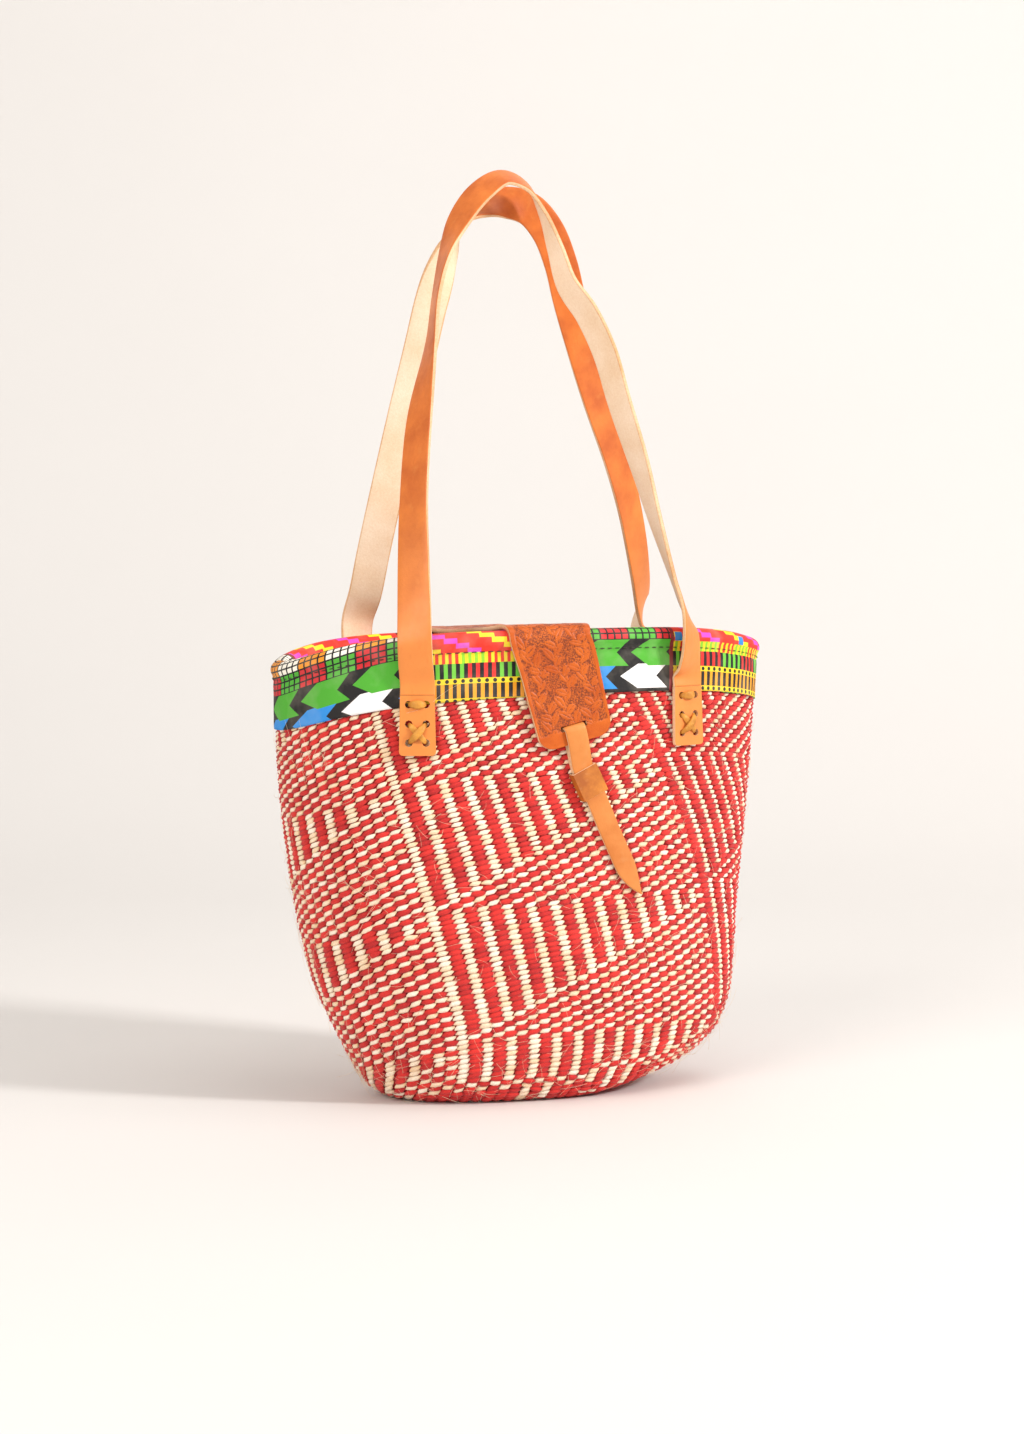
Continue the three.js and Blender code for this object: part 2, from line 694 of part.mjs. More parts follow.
// The closing strip: up behind the flap, through the slit, down through the keeper to its point
function makeStrip() {
  const keeperEnd = keeperDistance + keeperLength;
  const side = stripThickness / 2;
  const turn = side + seatGap;
  const route = [
    [keeperEnd - seatGap, stripBackOut],
    [keeperDistance + keeperLength / 2, stripBackOut],
    [keeperDistance, stripBackOut],
    [keeperDistance / 2, stripBackOut],
    [0, stripBackOut],
    [-turnRise + side, stripBackOut],
    [-turnRise, stripBackOut + side],
    [-turnRise, stripFrontOut - side],
    [-turnRise + side, stripFrontOut],
    [flapEndDrop - slitDrop + turn, stripFrontOut],
    [keeperDistance - turn, stripKeptOut],
    [keeperDistance + keeperLength / 2, stripKeptOut],
    [keeperEnd + turn, stripKeptOut],
  ];
  tongueShares.forEach((share) => {
    const distance = keeperEnd + turn + share * (tongueLength - keeperLength - turn);
    route.push([distance, stripKeptOut + (tongueOut - stripKeptOut) * Math.min(2 * share, 1)]);
  });
  const tip = keeperDistance + tongueLength;
  const stations = route.map(([distance, outward], i) => {
    const [before, after] = [route[Math.max(i - 1, 0)], route[Math.min(i + 1, route.length - 1)]];
    const ahead = new THREE.Vector2(after[0] - before[0], after[1] - before[1]).normalize();
    const share = THREE.MathUtils.smoothstep(distance, keeperDistance - turn, keeperDistance + turn);
    const frame = stripFrame(distance, flapLean + (tongueLean - flapLean) * share);
    const left = Math.max(1 - (tip - distance) / tongueTaper, 0);
    const middle = frame.origin.clone().addScaledVector(frame.normal, outward);
    middle.addScaledVector(frame.side, tongueTipShift * left * left);
    const normal = frame.normal.clone().multiplyScalar(ahead.x).addScaledVector(frame.rise, ahead.y);
    const halfWidth = (stripWidth / 2) * (1 - left ** tonguePower) + seatGap * left;
    return { middle, across: frame.side.clone().negate(), normal, halfWidth };
  });
  return ribbon(stations, stripThickness);
}

// The keeper: a bar over the strip, two legs through the wall and two feet turned out inside
function makeKeeper() {
  const front = stripKeptOut + stripThickness / 2 + seatGap;
  const inside = -liningIn - keeperFootGap;
  const reach = keeperLength / 2;
  const pieces = [boxSolid([-keeperOuterHalf, -reach, front], [keeperOuterHalf, reach, front + keeperThickness])];
  [-1, 1].forEach((side) => {
    const span = (a, b) => [Math.min(side * a, side * b), Math.max(side * a, side * b)];
    const [legLow, legHigh] = span(keeperInnerHalf, keeperOuterHalf);
    const [footLow, footHigh] = span(keeperInnerHalf, keeperOuterHalf + keeperFoot);
    pieces.push(boxSolid([legLow, -reach, inside - keeperThickness], [legHigh, reach, front + keeperThickness]));
    pieces.push(boxSolid([footLow, -reach, inside - keeperThickness], [footHigh, reach, inside]));
  });
  return geometryOf(joined(pieces));
}

const colours = {
  weave: [0xb8332c, 0.9],
  lining: [0x6e2a22, 0.95],
  cord: [0xd9c39a, 0.9],
  print: [0x4c7a35, 0.85],
  strap: [0xc97b45, 0.5],
  flap: [0x9a4a20, 0.55],
  strip: [0xd48c4e, 0.6],
  keeper: [0xb06c2e, 0.5],
  thong: [0xd9983c, 0.6],
};

const bag = new THREE.Group();

function add(name, geometry, finish, frame) {
  const [color, roughness] = colours[finish];
  const material = new THREE.MeshStandardMaterial({ color, roughness, metalness: 0 });
  const mesh = new THREE.Mesh(geometry, material);
  mesh.name = name;
  if (frame) {
    mesh.position.copy(frame.origin);
    mesh.quaternion.setFromRotationMatrix(frameMatrix({ ...frame, origin: new THREE.Vector3() }));
  }
  bag.add(mesh);
}

add("woven_body", makeWovenBody(), "weave");
add("lining", makeLining(), "lining");
add("rim_cord", makeRimCord(), "cord");
add("rim_band", makeRimBand(), "print");
add(
  "handle_front_strap",
  makeHandle(anchors.front_left, anchors.front_right, frontRouteShares, frontHandleRise),
  "strap",
);
add(
  "handle_back_strap",
  makeHandle(anchors.back_left, anchors.back_right, backRouteShares, backHandleRise),
  "strap",
);
Object.entries(anchors).forEach(([place, frame]) => {
  const side = holeSpacing / 2;
  add(`handle_${place.replace("_", "_end_")}`, makeStrapEnd(), "strap", frame);
  add(`lace_${place}_bar`, makeBarLace(-side, side, holeRows[0], strapThickness, laceInsideGap), "thong", frame);
  add(`lace_${place}_cross`, makeCrossLace(), "thong", frame);
});
add("flap", makeFlap(), "flap");
add("flap_back_tab", makeFlapTab(), "flap", tabFrame);
["flap_lace_right", "flap_lace_left"].forEach((name, i) => {
  const [first, second] = tabHoles.slice(2 * i, 2 * i + 2);
  add(name, makeBarLace(first[0], second[0], first[1], flapThickness, flapLaceInsideGap), "thong", tabFrame);
});
add("closing_strip", makeStrip(), "strip");
add("keeper", makeKeeper(), "keeper", keeperFrame);

// The origin stands on the ground under the middle of the whole bag
const bounds = new THREE.Box3().setFromObject(bag);
const middle = bounds.getCenter(new THREE.Vector3());
bag.position.set(-middle.x, -middle.y, -bounds.min.z);

const root = new THREE.Group();
root.add(bag);

export default root;
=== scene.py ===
"""Looks of the woven bag: twined wall, printed rim, leather handles, flap, strip and laces.

The wall, the handles, the flap and the strip follow the part's own sizes, in millimetres, in the
wall's frame: x across the mouth, y from front to back, z up. Blender's own units are metres.
"""
import math

import bmesh
import bpy
import numpy as np
from mathutils import Matrix, Vector


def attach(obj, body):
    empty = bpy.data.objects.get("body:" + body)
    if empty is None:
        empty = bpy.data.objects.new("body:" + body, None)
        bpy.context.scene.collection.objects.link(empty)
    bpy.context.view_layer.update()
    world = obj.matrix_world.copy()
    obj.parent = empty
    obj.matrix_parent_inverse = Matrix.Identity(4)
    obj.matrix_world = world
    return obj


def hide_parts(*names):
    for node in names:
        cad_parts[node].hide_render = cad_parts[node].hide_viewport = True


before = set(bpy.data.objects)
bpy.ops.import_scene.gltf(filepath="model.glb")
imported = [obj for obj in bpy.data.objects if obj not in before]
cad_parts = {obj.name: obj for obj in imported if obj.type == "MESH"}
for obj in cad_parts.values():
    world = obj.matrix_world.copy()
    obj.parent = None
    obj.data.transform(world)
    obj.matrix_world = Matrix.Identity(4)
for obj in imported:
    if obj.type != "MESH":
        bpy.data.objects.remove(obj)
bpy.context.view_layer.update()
rng = np.random.default_rng(7)

# The part's sizes in millimetres
MM = 0.001
ORIGIN = np.array([1.015, 0.415, 0.0])
MOUTH_HALF_WIDTH = 171.5
MOUTH_HALF_DEPTH = 80.0
BAG_HEIGHT = 319.0
RIM_BACK_DROP = 5.5
LEFT_DROOP = 17.0
RIGHT_DROOP = 12.0
BASE_LIFT = 16.0
BASE_LIFT_START = 20.0
BASE_LIFT_END = 130.0
ROUNDNESS = 2.15
WALL = 5.0
LINING_IN = 6.1
ROLL_RADIUS = 6.5
ROLL_SET_IN = 3.0
BAND_DROP = 43.0
BAND_INNER_DROP = 38.0
STRAP_WIDTH = 23.0
STRAP_THICKNESS = 2.8
STRAP_SEAT = 2.0
BEND_DROP = 39.0
STRAP_END_LENGTH = 40.0
STRAP_STRAIGHT = 8.0
BEND_GAP = 0.4
FRONT_RISE = 345.0
BACK_RISE = 335.0
HOLE_SPACING = 11.5
HOLE_ROWS = (14.0, 1.0, -11.5)

HEIGHT_SHARES = np.array([0, 0.0094, 0.0345, 0.0815, 0.166, 0.266, 0.395, 0.542, 0.74, 0.909, 1])
WIDTH_SHARES = np.array([0.571, 0.63, 0.694, 0.764, 0.831, 0.88, 0.9125, 0.9475, 0.9825, 0.997, 1])
DEPTH_SHARES = np.array([0.525, 0.625, 0.7125, 0.8, 0.9125, 1, 1.0625, 1.075, 1.05, 1.0125, 1])
SHIFT_SHARES = np.array([0.047, 0.047, 0.052, 0.064, 0.052, 0.023, 0, -0.009, -0.012, -0.006, -0.006])

# Routes of the handles: shares across, in depth and up, then the grain side's way in degrees
FRONT_ROUTE = [
    [-1.02, -0.94, 0.06, -24, 0],
    [-1.03, -0.95, 0.107, -28, 0],
    [-1.01, -0.87, 0.164, -34, 0],
    [-0.97, -0.71, 0.25, -44, 0],
    [-0.93, -0.575, 0.366, -56, 0],
    [-0.855, -0.45, 0.519, -64, 0],
    [-0.73, -0.33, 0.674, -92, 0],
    [-0.665, -0.25, 0.77, -97, 2],
    [-0.58, -0.2, 0.85, -88, 8],
    [-0.47, -0.18, 0.914, -65, 25],
    [-0.32, -0.165, 0.965, -50, 42],
    [-0.14, -0.15, 0.994, -40, 60],
    [0.03, -0.15, 0.977, 45, 62],
    [0.15, -0.16, 0.925, 80, 35],
    [0.235, -0.19, 0.856, 95, 12],
    [0.31, -0.225, 0.787, 104, 3],
    [0.445, -0.275, 0.729, 108, 0],
    [0.56, -0.34, 0.654, 110, 0],
    [0.645, -0.425, 0.556, 108, 0],
    [0.76, -0.525, 0.438, 100, 0],
    [0.865, -0.61, 0.32, 85, 0],
    [0.96, -0.79, 0.193, 66, 0],
    [0.99, -1.01, 0.115, 48, 0],
    [1, -0.98, 0.055, 34, 0],
]
BACK_ROUTE = [
    [-1.01, 1.01, 0.095, -170, 0],
    [-1.01, 1, 0.14, -178, 0],
    [-0.99, 0.85, 0.2, -192, 0],
    [-0.96, 0.74, 0.284, -198, 0],
    [-0.91, 0.61, 0.394, -200, 0],
    [-0.81, 0.475, 0.564, -200, 0],
    [-0.725, 0.34, 0.707, -200, 0],
    [-0.667, 0.25, 0.806, -195, 0],
    [-0.58, 0.19, 0.9, -150, 12],
    [-0.47, 0.165, 0.96, -100, 38],
    [-0.33, 0.15, 0.99, -50, 38],
    [-0.18, 0.14, 1, -24, 18],
    [-0.02, 0.13, 0.988, -16, 6],
    [0.11, 0.13, 0.946, -12, 0],
    [0.21, 0.15, 0.88, -12, 0],
    [0.285, 0.19, 0.806, -14, 0],
    [0.39, 0.26, 0.719, -6, 0],
    [0.55, 0.385, 0.597, 10, 0],
    [0.725, 0.525, 0.48, 20, 0],
    [0.855, 0.625, 0.373, 26, 0],
    [0.96, 0.73, 0.254, 33, 0],
    [1.03, 0.875, 0.17, 46, 0],
    [1.05, 1.01, 0.115, 92, 0],
]


# Shape of the wall

UP = np.array([0.0, 0.0, 1.0])


def smoothstep(x, low, high):
    t = np.clip((x - low) / (high - low), 0, 1)
    return t * t * (3 - 2 * t)


def share_at(table, height):
    height = np.asarray(height, float)
    i = np.clip(np.searchsorted(HEIGHT_SHARES, height, side="left") - 1, 0, len(table) - 2)
    low = np.maximum(np.arange(len(table)) - 1, 0)
    high = np.minimum(np.arange(len(table)) + 1, len(table) - 1)
    slope = (table[high] - table[low]) / (HEIGHT_SHARES[high] - HEIGHT_SHARES[low])
    step = HEIGHT_SHARES[i + 1] - HEIGHT_SHARES[i]
    t = (height - HEIGHT_SHARES[i]) / step
    rest = 1 - t
    ends = table[i] * rest * rest * (1 + 2 * t) + table[i + 1] * t * t * (3 - 2 * t)
    return ends + step * t * rest * (slope[i] * rest - slope[i + 1] * t)


def powered(value, power):
    return np.sign(value) * np.abs(value) ** power


def rim_height(x, y):
    droop = np.where(x < 0, LEFT_DROOP, RIGHT_DROOP)
    return BAG_HEIGHT - RIM_BACK_DROP * y / MOUTH_HALF_DEPTH - droop * (x / MOUTH_HALF_WIDTH) ** 4


def base_lift(x, height):
    return BASE_LIFT * smoothstep(x, BASE_LIFT_START, BASE_LIFT_END) * (1 - height) ** 4


def wall_point(angle, height):
    across = MOUTH_HALF_WIDTH * share_at(WIDTH_SHARES, height)
    deep = MOUTH_HALF_DEPTH * share_at(DEPTH_SHARES, height)
    shift = MOUTH_HALF_WIDTH * share_at(SHIFT_SHARES, height)
    x = shift + across * powered(np.cos(angle), 2 / ROUNDNESS)
    y = deep * powered(np.sin(angle), 2 / ROUNDNESS)
    return np.stack([x, y, height * rim_height(x, y) + base_lift(x, height)], -1)


def unit(vectors):
    return vectors / np.maximum(np.linalg.norm(vectors, axis=-1, keepdims=True), 1e-12)


def wall_normal(angle, height):
    probe = 0.001
    around = wall_point(angle + probe, height) - wall_point(angle - probe, height)
    above, below = np.minimum(height + probe, 1), np.maximum(height - probe, 0)
    return unit(np.cross(around, wall_point(angle, above) - wall_point(angle, below)))


def off_wall(angle, height, outward):
    return wall_point(angle, height) + wall_normal(angle, height) * np.asarray(outward)[..., None]


def drop_share(drop):
    return 1 - drop / BAG_HEIGHT


def wall_frame(x, drop, front):
    """The wall's place, and its side, rise and outward ways, x across and a drop below the rim."""
    height = drop_share(drop)
    across = MOUTH_HALF_WIDTH * share_at(WIDTH_SHARES, height)
    middle = MOUTH_HALF_WIDTH * share_at(SHIFT_SHARES, height)
    turn = np.arccos(powered((x - middle) / across, ROUNDNESS / 2))
    angle = -turn if front else turn
    normal = wall_normal(angle, height)
    side = unit(np.cross(UP, normal))
    rise = np.cross(normal, side)
    return {"origin": wall_point(angle, height), "side": side, "rise": rise, "normal": normal}


def leaned(place, degrees):
    """A wall frame turned in the wall's plane, so that its down leans towards +x."""
    a = math.radians(degrees)
    side, rise = place["side"], place["rise"]
    turned = side * math.cos(a) + rise * math.sin(a)
    return {**place, "side": turned, "rise": rise * math.cos(a) - side * math.sin(a)}


def in_frame(place, x, y, z):
    return (
        place["origin"]
        + np.asarray(x)[..., None] * place["side"]
        + np.asarray(y)[..., None] * place["rise"]
        + np.asarray(z)[..., None] * place["normal"]
    )


# The wall carried on under the base, to a spine along the base's middle: level 1 is the rim,
# level 0 the edge of the base and level -1 the spine
SPINE_SHARE = 0.55


def bag_point(angle, level):
    level = np.asarray(level, float)
    wall = wall_point(angle, np.maximum(level, 0))
    edge = wall_point(angle, np.zeros_like(level))
    middle = MOUTH_HALF_WIDTH * SHIFT_SHARES[0]
    t = np.clip(-level, 0, 1)
    x = edge[..., 0] + t * (1 - SPINE_SHARE) * (middle - edge[..., 0])
    y = edge[..., 1] * (1 - t)
    base = np.stack([x, y, base_lift(x, 0)], -1)
    return np.where((level < 0)[..., None], base, wall)


def bag_normal(angle, level):
    level = np.asarray(level, float)
    wall = wall_normal(angle, np.maximum(level, 0))
    share = smoothstep(level, -0.12, 0.012)[..., None]
    return unit(wall * share - UP * (1 - share))


# Mesh making

def to_scene(points):
    return (np.asarray(points) + ORIGIN) * MM


def mesh_of(name, bm):
    mesh = bpy.data.meshes.new(name)
    bm.to_mesh(mesh)
    bm.free()
    return mesh


def linked(name, data):
    """A new object in the scene."""
    made = bpy.data.objects.new(name, data)
    bpy.context.scene.collection.objects.link(made)
    return made


def add_object(name, mesh, materials, smooth=True):
    for material in materials:
        mesh.materials.append(material)
    mesh.polygons.foreach_set("use_smooth", [smooth] * len(mesh.polygons))
    return linked(name, mesh)


def new_piece(name, bm, materials, body, replaces, smooth=True):
    return finish_piece(name, mesh_of(name, bm), materials, body, replaces, smooth)


def finish_piece(name, mesh, materials, body, replaces=(), smooth=True):
    piece = add_object(name, mesh, materials, smooth)
    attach(piece, body)
    if replaces:
        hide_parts(*replaces)
    return piece


def flat_grid(across, along):
    """A flat grid of across by along faces, with its vertices' shares across and along."""
    bm = bmesh.new()
    bmesh.ops.create_grid(bm, x_segments=across, y_segments=along, size=1)
    bm.verts.index_update()
    u, v = (np.array([vert.co[:2] for vert in bm.verts]).T + 1) / 2
    return bm, u, v


def mapped_grid(across, along, place, uv=None, material=None):
    """A grid of across by along faces, bent to the shape that place(u, v) gives, in scene metres."""
    bm, u, v = flat_grid(across, along)
    if uv is not None:
        layer = bm.loops.layers.uv.new("UVMap")
        spots = np.stack(uv(u, v), -1)
        for face in bm.faces:
            for loop in face.loops:
                loop[layer].uv = spots[loop.vert.index]
    if material is not None:
        for face in bm.faces:
            middle = face.calc_center_median()
            face.material_index = material((middle.x + 1) / 2, (middle.y + 1) / 2)
    for vert, point in zip(bm.verts, to_scene(place(u, v))):
        vert.co = point
    bmesh.ops.remove_doubles(bm, verts=bm.verts, dist=1e-6)
    return bm


def close_ends(bm):
    """Fills the open ends of a tube and turns its faces outward."""
    edges = [edge for edge in bm.edges if edge.is_boundary]
    bmesh.ops.holes_fill(bm, edges=edges, sides=0)
    bmesh.ops.recalc_face_normals(bm, faces=bm.faces)
    return bm


def small_shape(around, rings, taper=0.0, wave=0.0):
    """Points and faces of a small ball with few faces, to be repeated. taper draws its ends to points."""
    bm = bmesh.new()
    bmesh.ops.create_uvsphere(bm, u_segments=around, v_segments=rings, radius=1)
    points = np.array([(v.co.z, v.co.x, v.co.y) for v in bm.verts])
    faces = [[v.index for v in face.verts] for face in bm.faces]
    bm.free()
    end = np.abs(points[:, :1])
    points[:, 1:] *= 1 + 0.5 * end * (1 - end) - taper * end ** 2.2
    points[:, 1] -= wave * 2.6 * (points[:, 0] - points[:, 0] ** 3)
    return points, faces


def repeated(shape, places, shades):
    """One mesh of many copies of a small shape, each with its own tone, and with painted shade darkening
    its ends.
    places holds a 3 x 4 matrix for each copy."""
    points, faces = shape
    count = len(places)
    moved = np.einsum("nij,pj->npi", places[:, :, :3], points) + places[:, None, :, 3]
    sizes = np.array([len(face) for face in faces])
    corners = np.concatenate([np.array(face) for face in faces])
    loops = (corners[None, :] + np.arange(count)[:, None] * len(points)).ravel()
    mesh = bpy.data.meshes.new("repeated")
    mesh.vertices.add(count * len(points))
    mesh.vertices.foreach_set("co", to_scene(moved).astype(np.float32).ravel())
    mesh.loops.add(len(loops))
    mesh.loops.foreach_set("vertex_index", loops.astype(np.int32))
    starts = np.concatenate([[0], np.cumsum(np.tile(sizes, count))[:-1]])
    mesh.polygons.add(count * len(faces))
    mesh.polygons.foreach_set("loop_start", starts.astype(np.int32))
    mesh.update(calc_edges=True)
    tone = mesh.attributes.new("tone", "FLOAT", "POINT")
    # Each copy's own tone, lowered towards its ends as painted shade where the stitch dips into the gaps
    tones_with_painted_end_shade = shades[:, None] - np.abs(points[:, 0]) ** 3
    tone.data.foreach_set("value", tones_with_painted_end_shade.astype(np.float32).ravel())
    mesh.validate()
    return mesh


def placed(origins, along, across, normals, sizes):
    """Matrices whose columns are the scaled axes of each copy, and its place."""
    axes = [way * sizes[:, k : k + 1] for k, way in enumerate((along, across, normals))]
    return np.stack([*axes, origins], -1)


def run_along(points):
    """Distance run at each point of a path."""
    return np.concatenate([[0], np.cumsum(np.linalg.norm(np.diff(points, axis=0), axis=1))])


def curve_points(points, t, centripetal=True):
    """Points at shares t of a smooth curve through points, which it passes one by one."""
    points = np.asarray(points, float)
    last = len(points) - 1
    spot = np.clip(np.asarray(t, float), 0, 1) * last
    i = np.minimum(spot.astype(int), last - 1)
    w = (spot - i)[:, None]
    ends = np.vstack([2 * points[0] - points[1], points, 2 * points[-1] - points[-2]])
    p0, p1, p2, p3 = (ends[i + k] for k in range(4))
    if centripetal:
        gaps = [np.linalg.norm(way, axis=1, keepdims=True) for way in (p1 - p0, p2 - p1, p3 - p2)]
        d0, d1, d2 = (gap ** 0.5 for gap in gaps)
        m1 = ((p1 - p0) / d0 - (p2 - p0) / (d0 + d1) + (p2 - p1) / d1) * d1
        m2 = ((p2 - p1) / d1 - (p3 - p1) / (d1 + d2) + (p3 - p2) / d2) * d1
    else:
        m1, m2 = (p2 - p0) / 2, (p3 - p1) / 2
    c2 = -3 * p1 + 3 * p2 - 2 * m1 - m2
    c3 = 2 * p1 - 2 * p2 + m1 + m2
    return p1 + m1 * w + c2 * w * w + c3 * w * w * w


def ribbon_axes(points, faces, t, probe=1e-4):
    """Middle, across and face ways of a strap along a curve."""
    middle = curve_points(points, t)
    ahead = unit(curve_points(points, t + probe) - curve_points(points, t - probe))
    across = unit(np.cross(ahead, curve_points(faces, t, False)))
    return middle, across, unit(np.cross(across, ahead))


# Shader maths

# Millimetres for each unit of the pieces' own maps
UV_MM = 100


def srgb(code):
    """A colour written as six hexadecimal digits, in the shader's own linear values."""
    parts = [int(code[k : k + 2], 16) / 255 for k in (0, 2, 4)]
    return tuple(c / 12.92 if c <= 0.04045 else ((c + 0.055) / 1.055) ** 2.4 for c in parts) + (1.0,)


def math_node(operation, swapped=False):
    """A way to add one Math node, with the socket as its first or last value."""
    def method(self, *others):
        values = (*others, self) if swapped else (self, *others)
        return self.shader.node("ShaderNodeMath", {"operation": operation}, dict(enumerate(values)))

    return method


class Wire:
    """A shader socket that can be used in sums."""

    def __init__(self, shader, socket):
        self.shader = shader
        self.socket = socket

    __add__, __radd__ = math_node("ADD"), math_node("ADD", True)
    __sub__, __rsub__ = math_node("SUBTRACT"), math_node("SUBTRACT", True)
    __mul__, __rmul__ = math_node("MULTIPLY"), math_node("MULTIPLY", True)
    __truediv__, __mod__ = math_node("DIVIDE"), math_node("FLOORED_MODULO")
    __lt__, __gt__ = math_node("LESS_THAN"), math_node("GREATER_THAN")
    __abs__, floor, sine = math_node("ABSOLUTE"), math_node("FLOOR"), math_node("SINE")
    least, most = math_node("MINIMUM"), math_node("MAXIMUM")


class Finish:
    """One material, with its principled shader and short ways to add nodes."""

    def __init__(self, name, roughness, **constants):
        self.material = bpy.data.materials.new(name)
        self.material.use_nodes = True
        self.tree = self.material.node_tree
        self.surface = self.tree.nodes["Principled BSDF"]
        for socket, value in {"Roughness": roughness, **constants}.items():
            self.surface.inputs[socket.replace("_", " ")].default_value = value

    def node(self, kind, settings=None, inputs=None, out=0):
        made = self.tree.nodes.new(kind)
        for key, value in (settings or {}).items():
            setattr(made, key, value)
        for key, value in (inputs or {}).items():
            if isinstance(value, Wire):
                self.tree.links.new(value.socket, made.inputs[key])
            else:
                made.inputs[key].default_value = value
        return Wire(self, made.outputs[out])

    def mix(self, mask, first, second):
        return self.node("ShaderNodeMix", {"data_type": "RGBA"}, {0: mask, 6: first, 7: second}, 2)

    def place(self, scale=(1, 1, 1)):
        spot = self.node("ShaderNodeTexCoord", out="Object")
        return self.node("ShaderNodeMapping", None, {"Vector": spot, "Scale": scale})

    def uv(self):
        """The piece's own map, in millimetres along and across it."""
        spot = self.node("ShaderNodeUVMap", {"uv_map": "UVMap"})
        parts = self.node("ShaderNodeSeparateXYZ", None, {0: spot})
        return parts * UV_MM, Wire(self, parts.socket.node.outputs[1]) * UV_MM

    def noise(self, vector, scale, detail, rough=0.5):
        inputs = {"Vector": vector, "Scale": scale, "Detail": detail, "Roughness": rough}
        return self.node("ShaderNodeTexNoise", None, inputs)

    def cells(self, vector, scale):
        return self.node("ShaderNodeTexVoronoi", None, {"Vector": vector, "Scale": scale}, "Distance")

    def spread(self, value, low, high, new_low=0.0, new_high=1.0):
        inputs = dict(enumerate((value, low, high, new_low, new_high)))
        return self.node("ShaderNodeMapRange", None, inputs)

    def attribute(self, name):
        return self.node("ShaderNodeAttribute", {"attribute_name": name}, out="Fac")

    def colour(self, wire):
        self.tree.links.new(wire.socket, self.surface.inputs["Base Color"])

    def rough(self, wire):
        self.tree.links.new(wire.socket, self.surface.inputs["Roughness"])

    def bump(self, height, distance, strength):
        """Bumps whose full height is distance in millimetres."""
        inputs = {"Height": height, "Distance": distance * MM, "Strength": strength}
        made = self.node("ShaderNodeBump", None, inputs)
        self.tree.links.new(made.socket, self.surface.inputs["Normal"])


def sisal(name, light, deep, dust):
    """Spun sisal: each stitch has its own tone and painted shade at its ends, with fine fibres over it.
    """
    f = Finish(name, roughness=0.82, Sheen_Weight=0.12, Sheen_Roughness=0.5)
    spot = f.place()
    streak = f.noise(spot, 1400, 4, 0.65)
    patch = f.noise(spot, 26, 2)
    # The tone attribute mixes a stitch towards the deep colour by its own tone and, as painted shade, at
    # its ends
    mask = f.spread(f.attribute("tone") * 0.3 + streak * 0.95 + patch * 0.3, 0.45, 1.0)
    body = f.mix(mask, srgb(deep), srgb(light))
    f.colour(f.mix(f.spread(streak, 0.62, 0.78) * 0.3, body, srgb(dust)))
    f.rough(f.spread(streak, 0.3, 0.7, 0.7, 0.95))
    f.bump(streak, 0.5, 0.8)
    return f.material


def lining_cotton():
    f = Finish("lining cotton", roughness=0.92)
    x, y = f.uv()
    weft = (x * 7.0).sine() * (y * 7.0).sine()
    patch = f.noise(f.place(), 18, 3)
    f.colour(f.mix(patch, srgb("5d2019"), srgb("7c2f24")))
    f.bump(weft + patch * 4, 0.12, 0.6)
    return f.material


# The print's steps, and the seams between its panels, in millimetres
CHECK_EDGE = 19.4
ARROW_PITCH = 38.5
SEAMS = (-350, -245, -107.5, 4, 83, 225, 330)


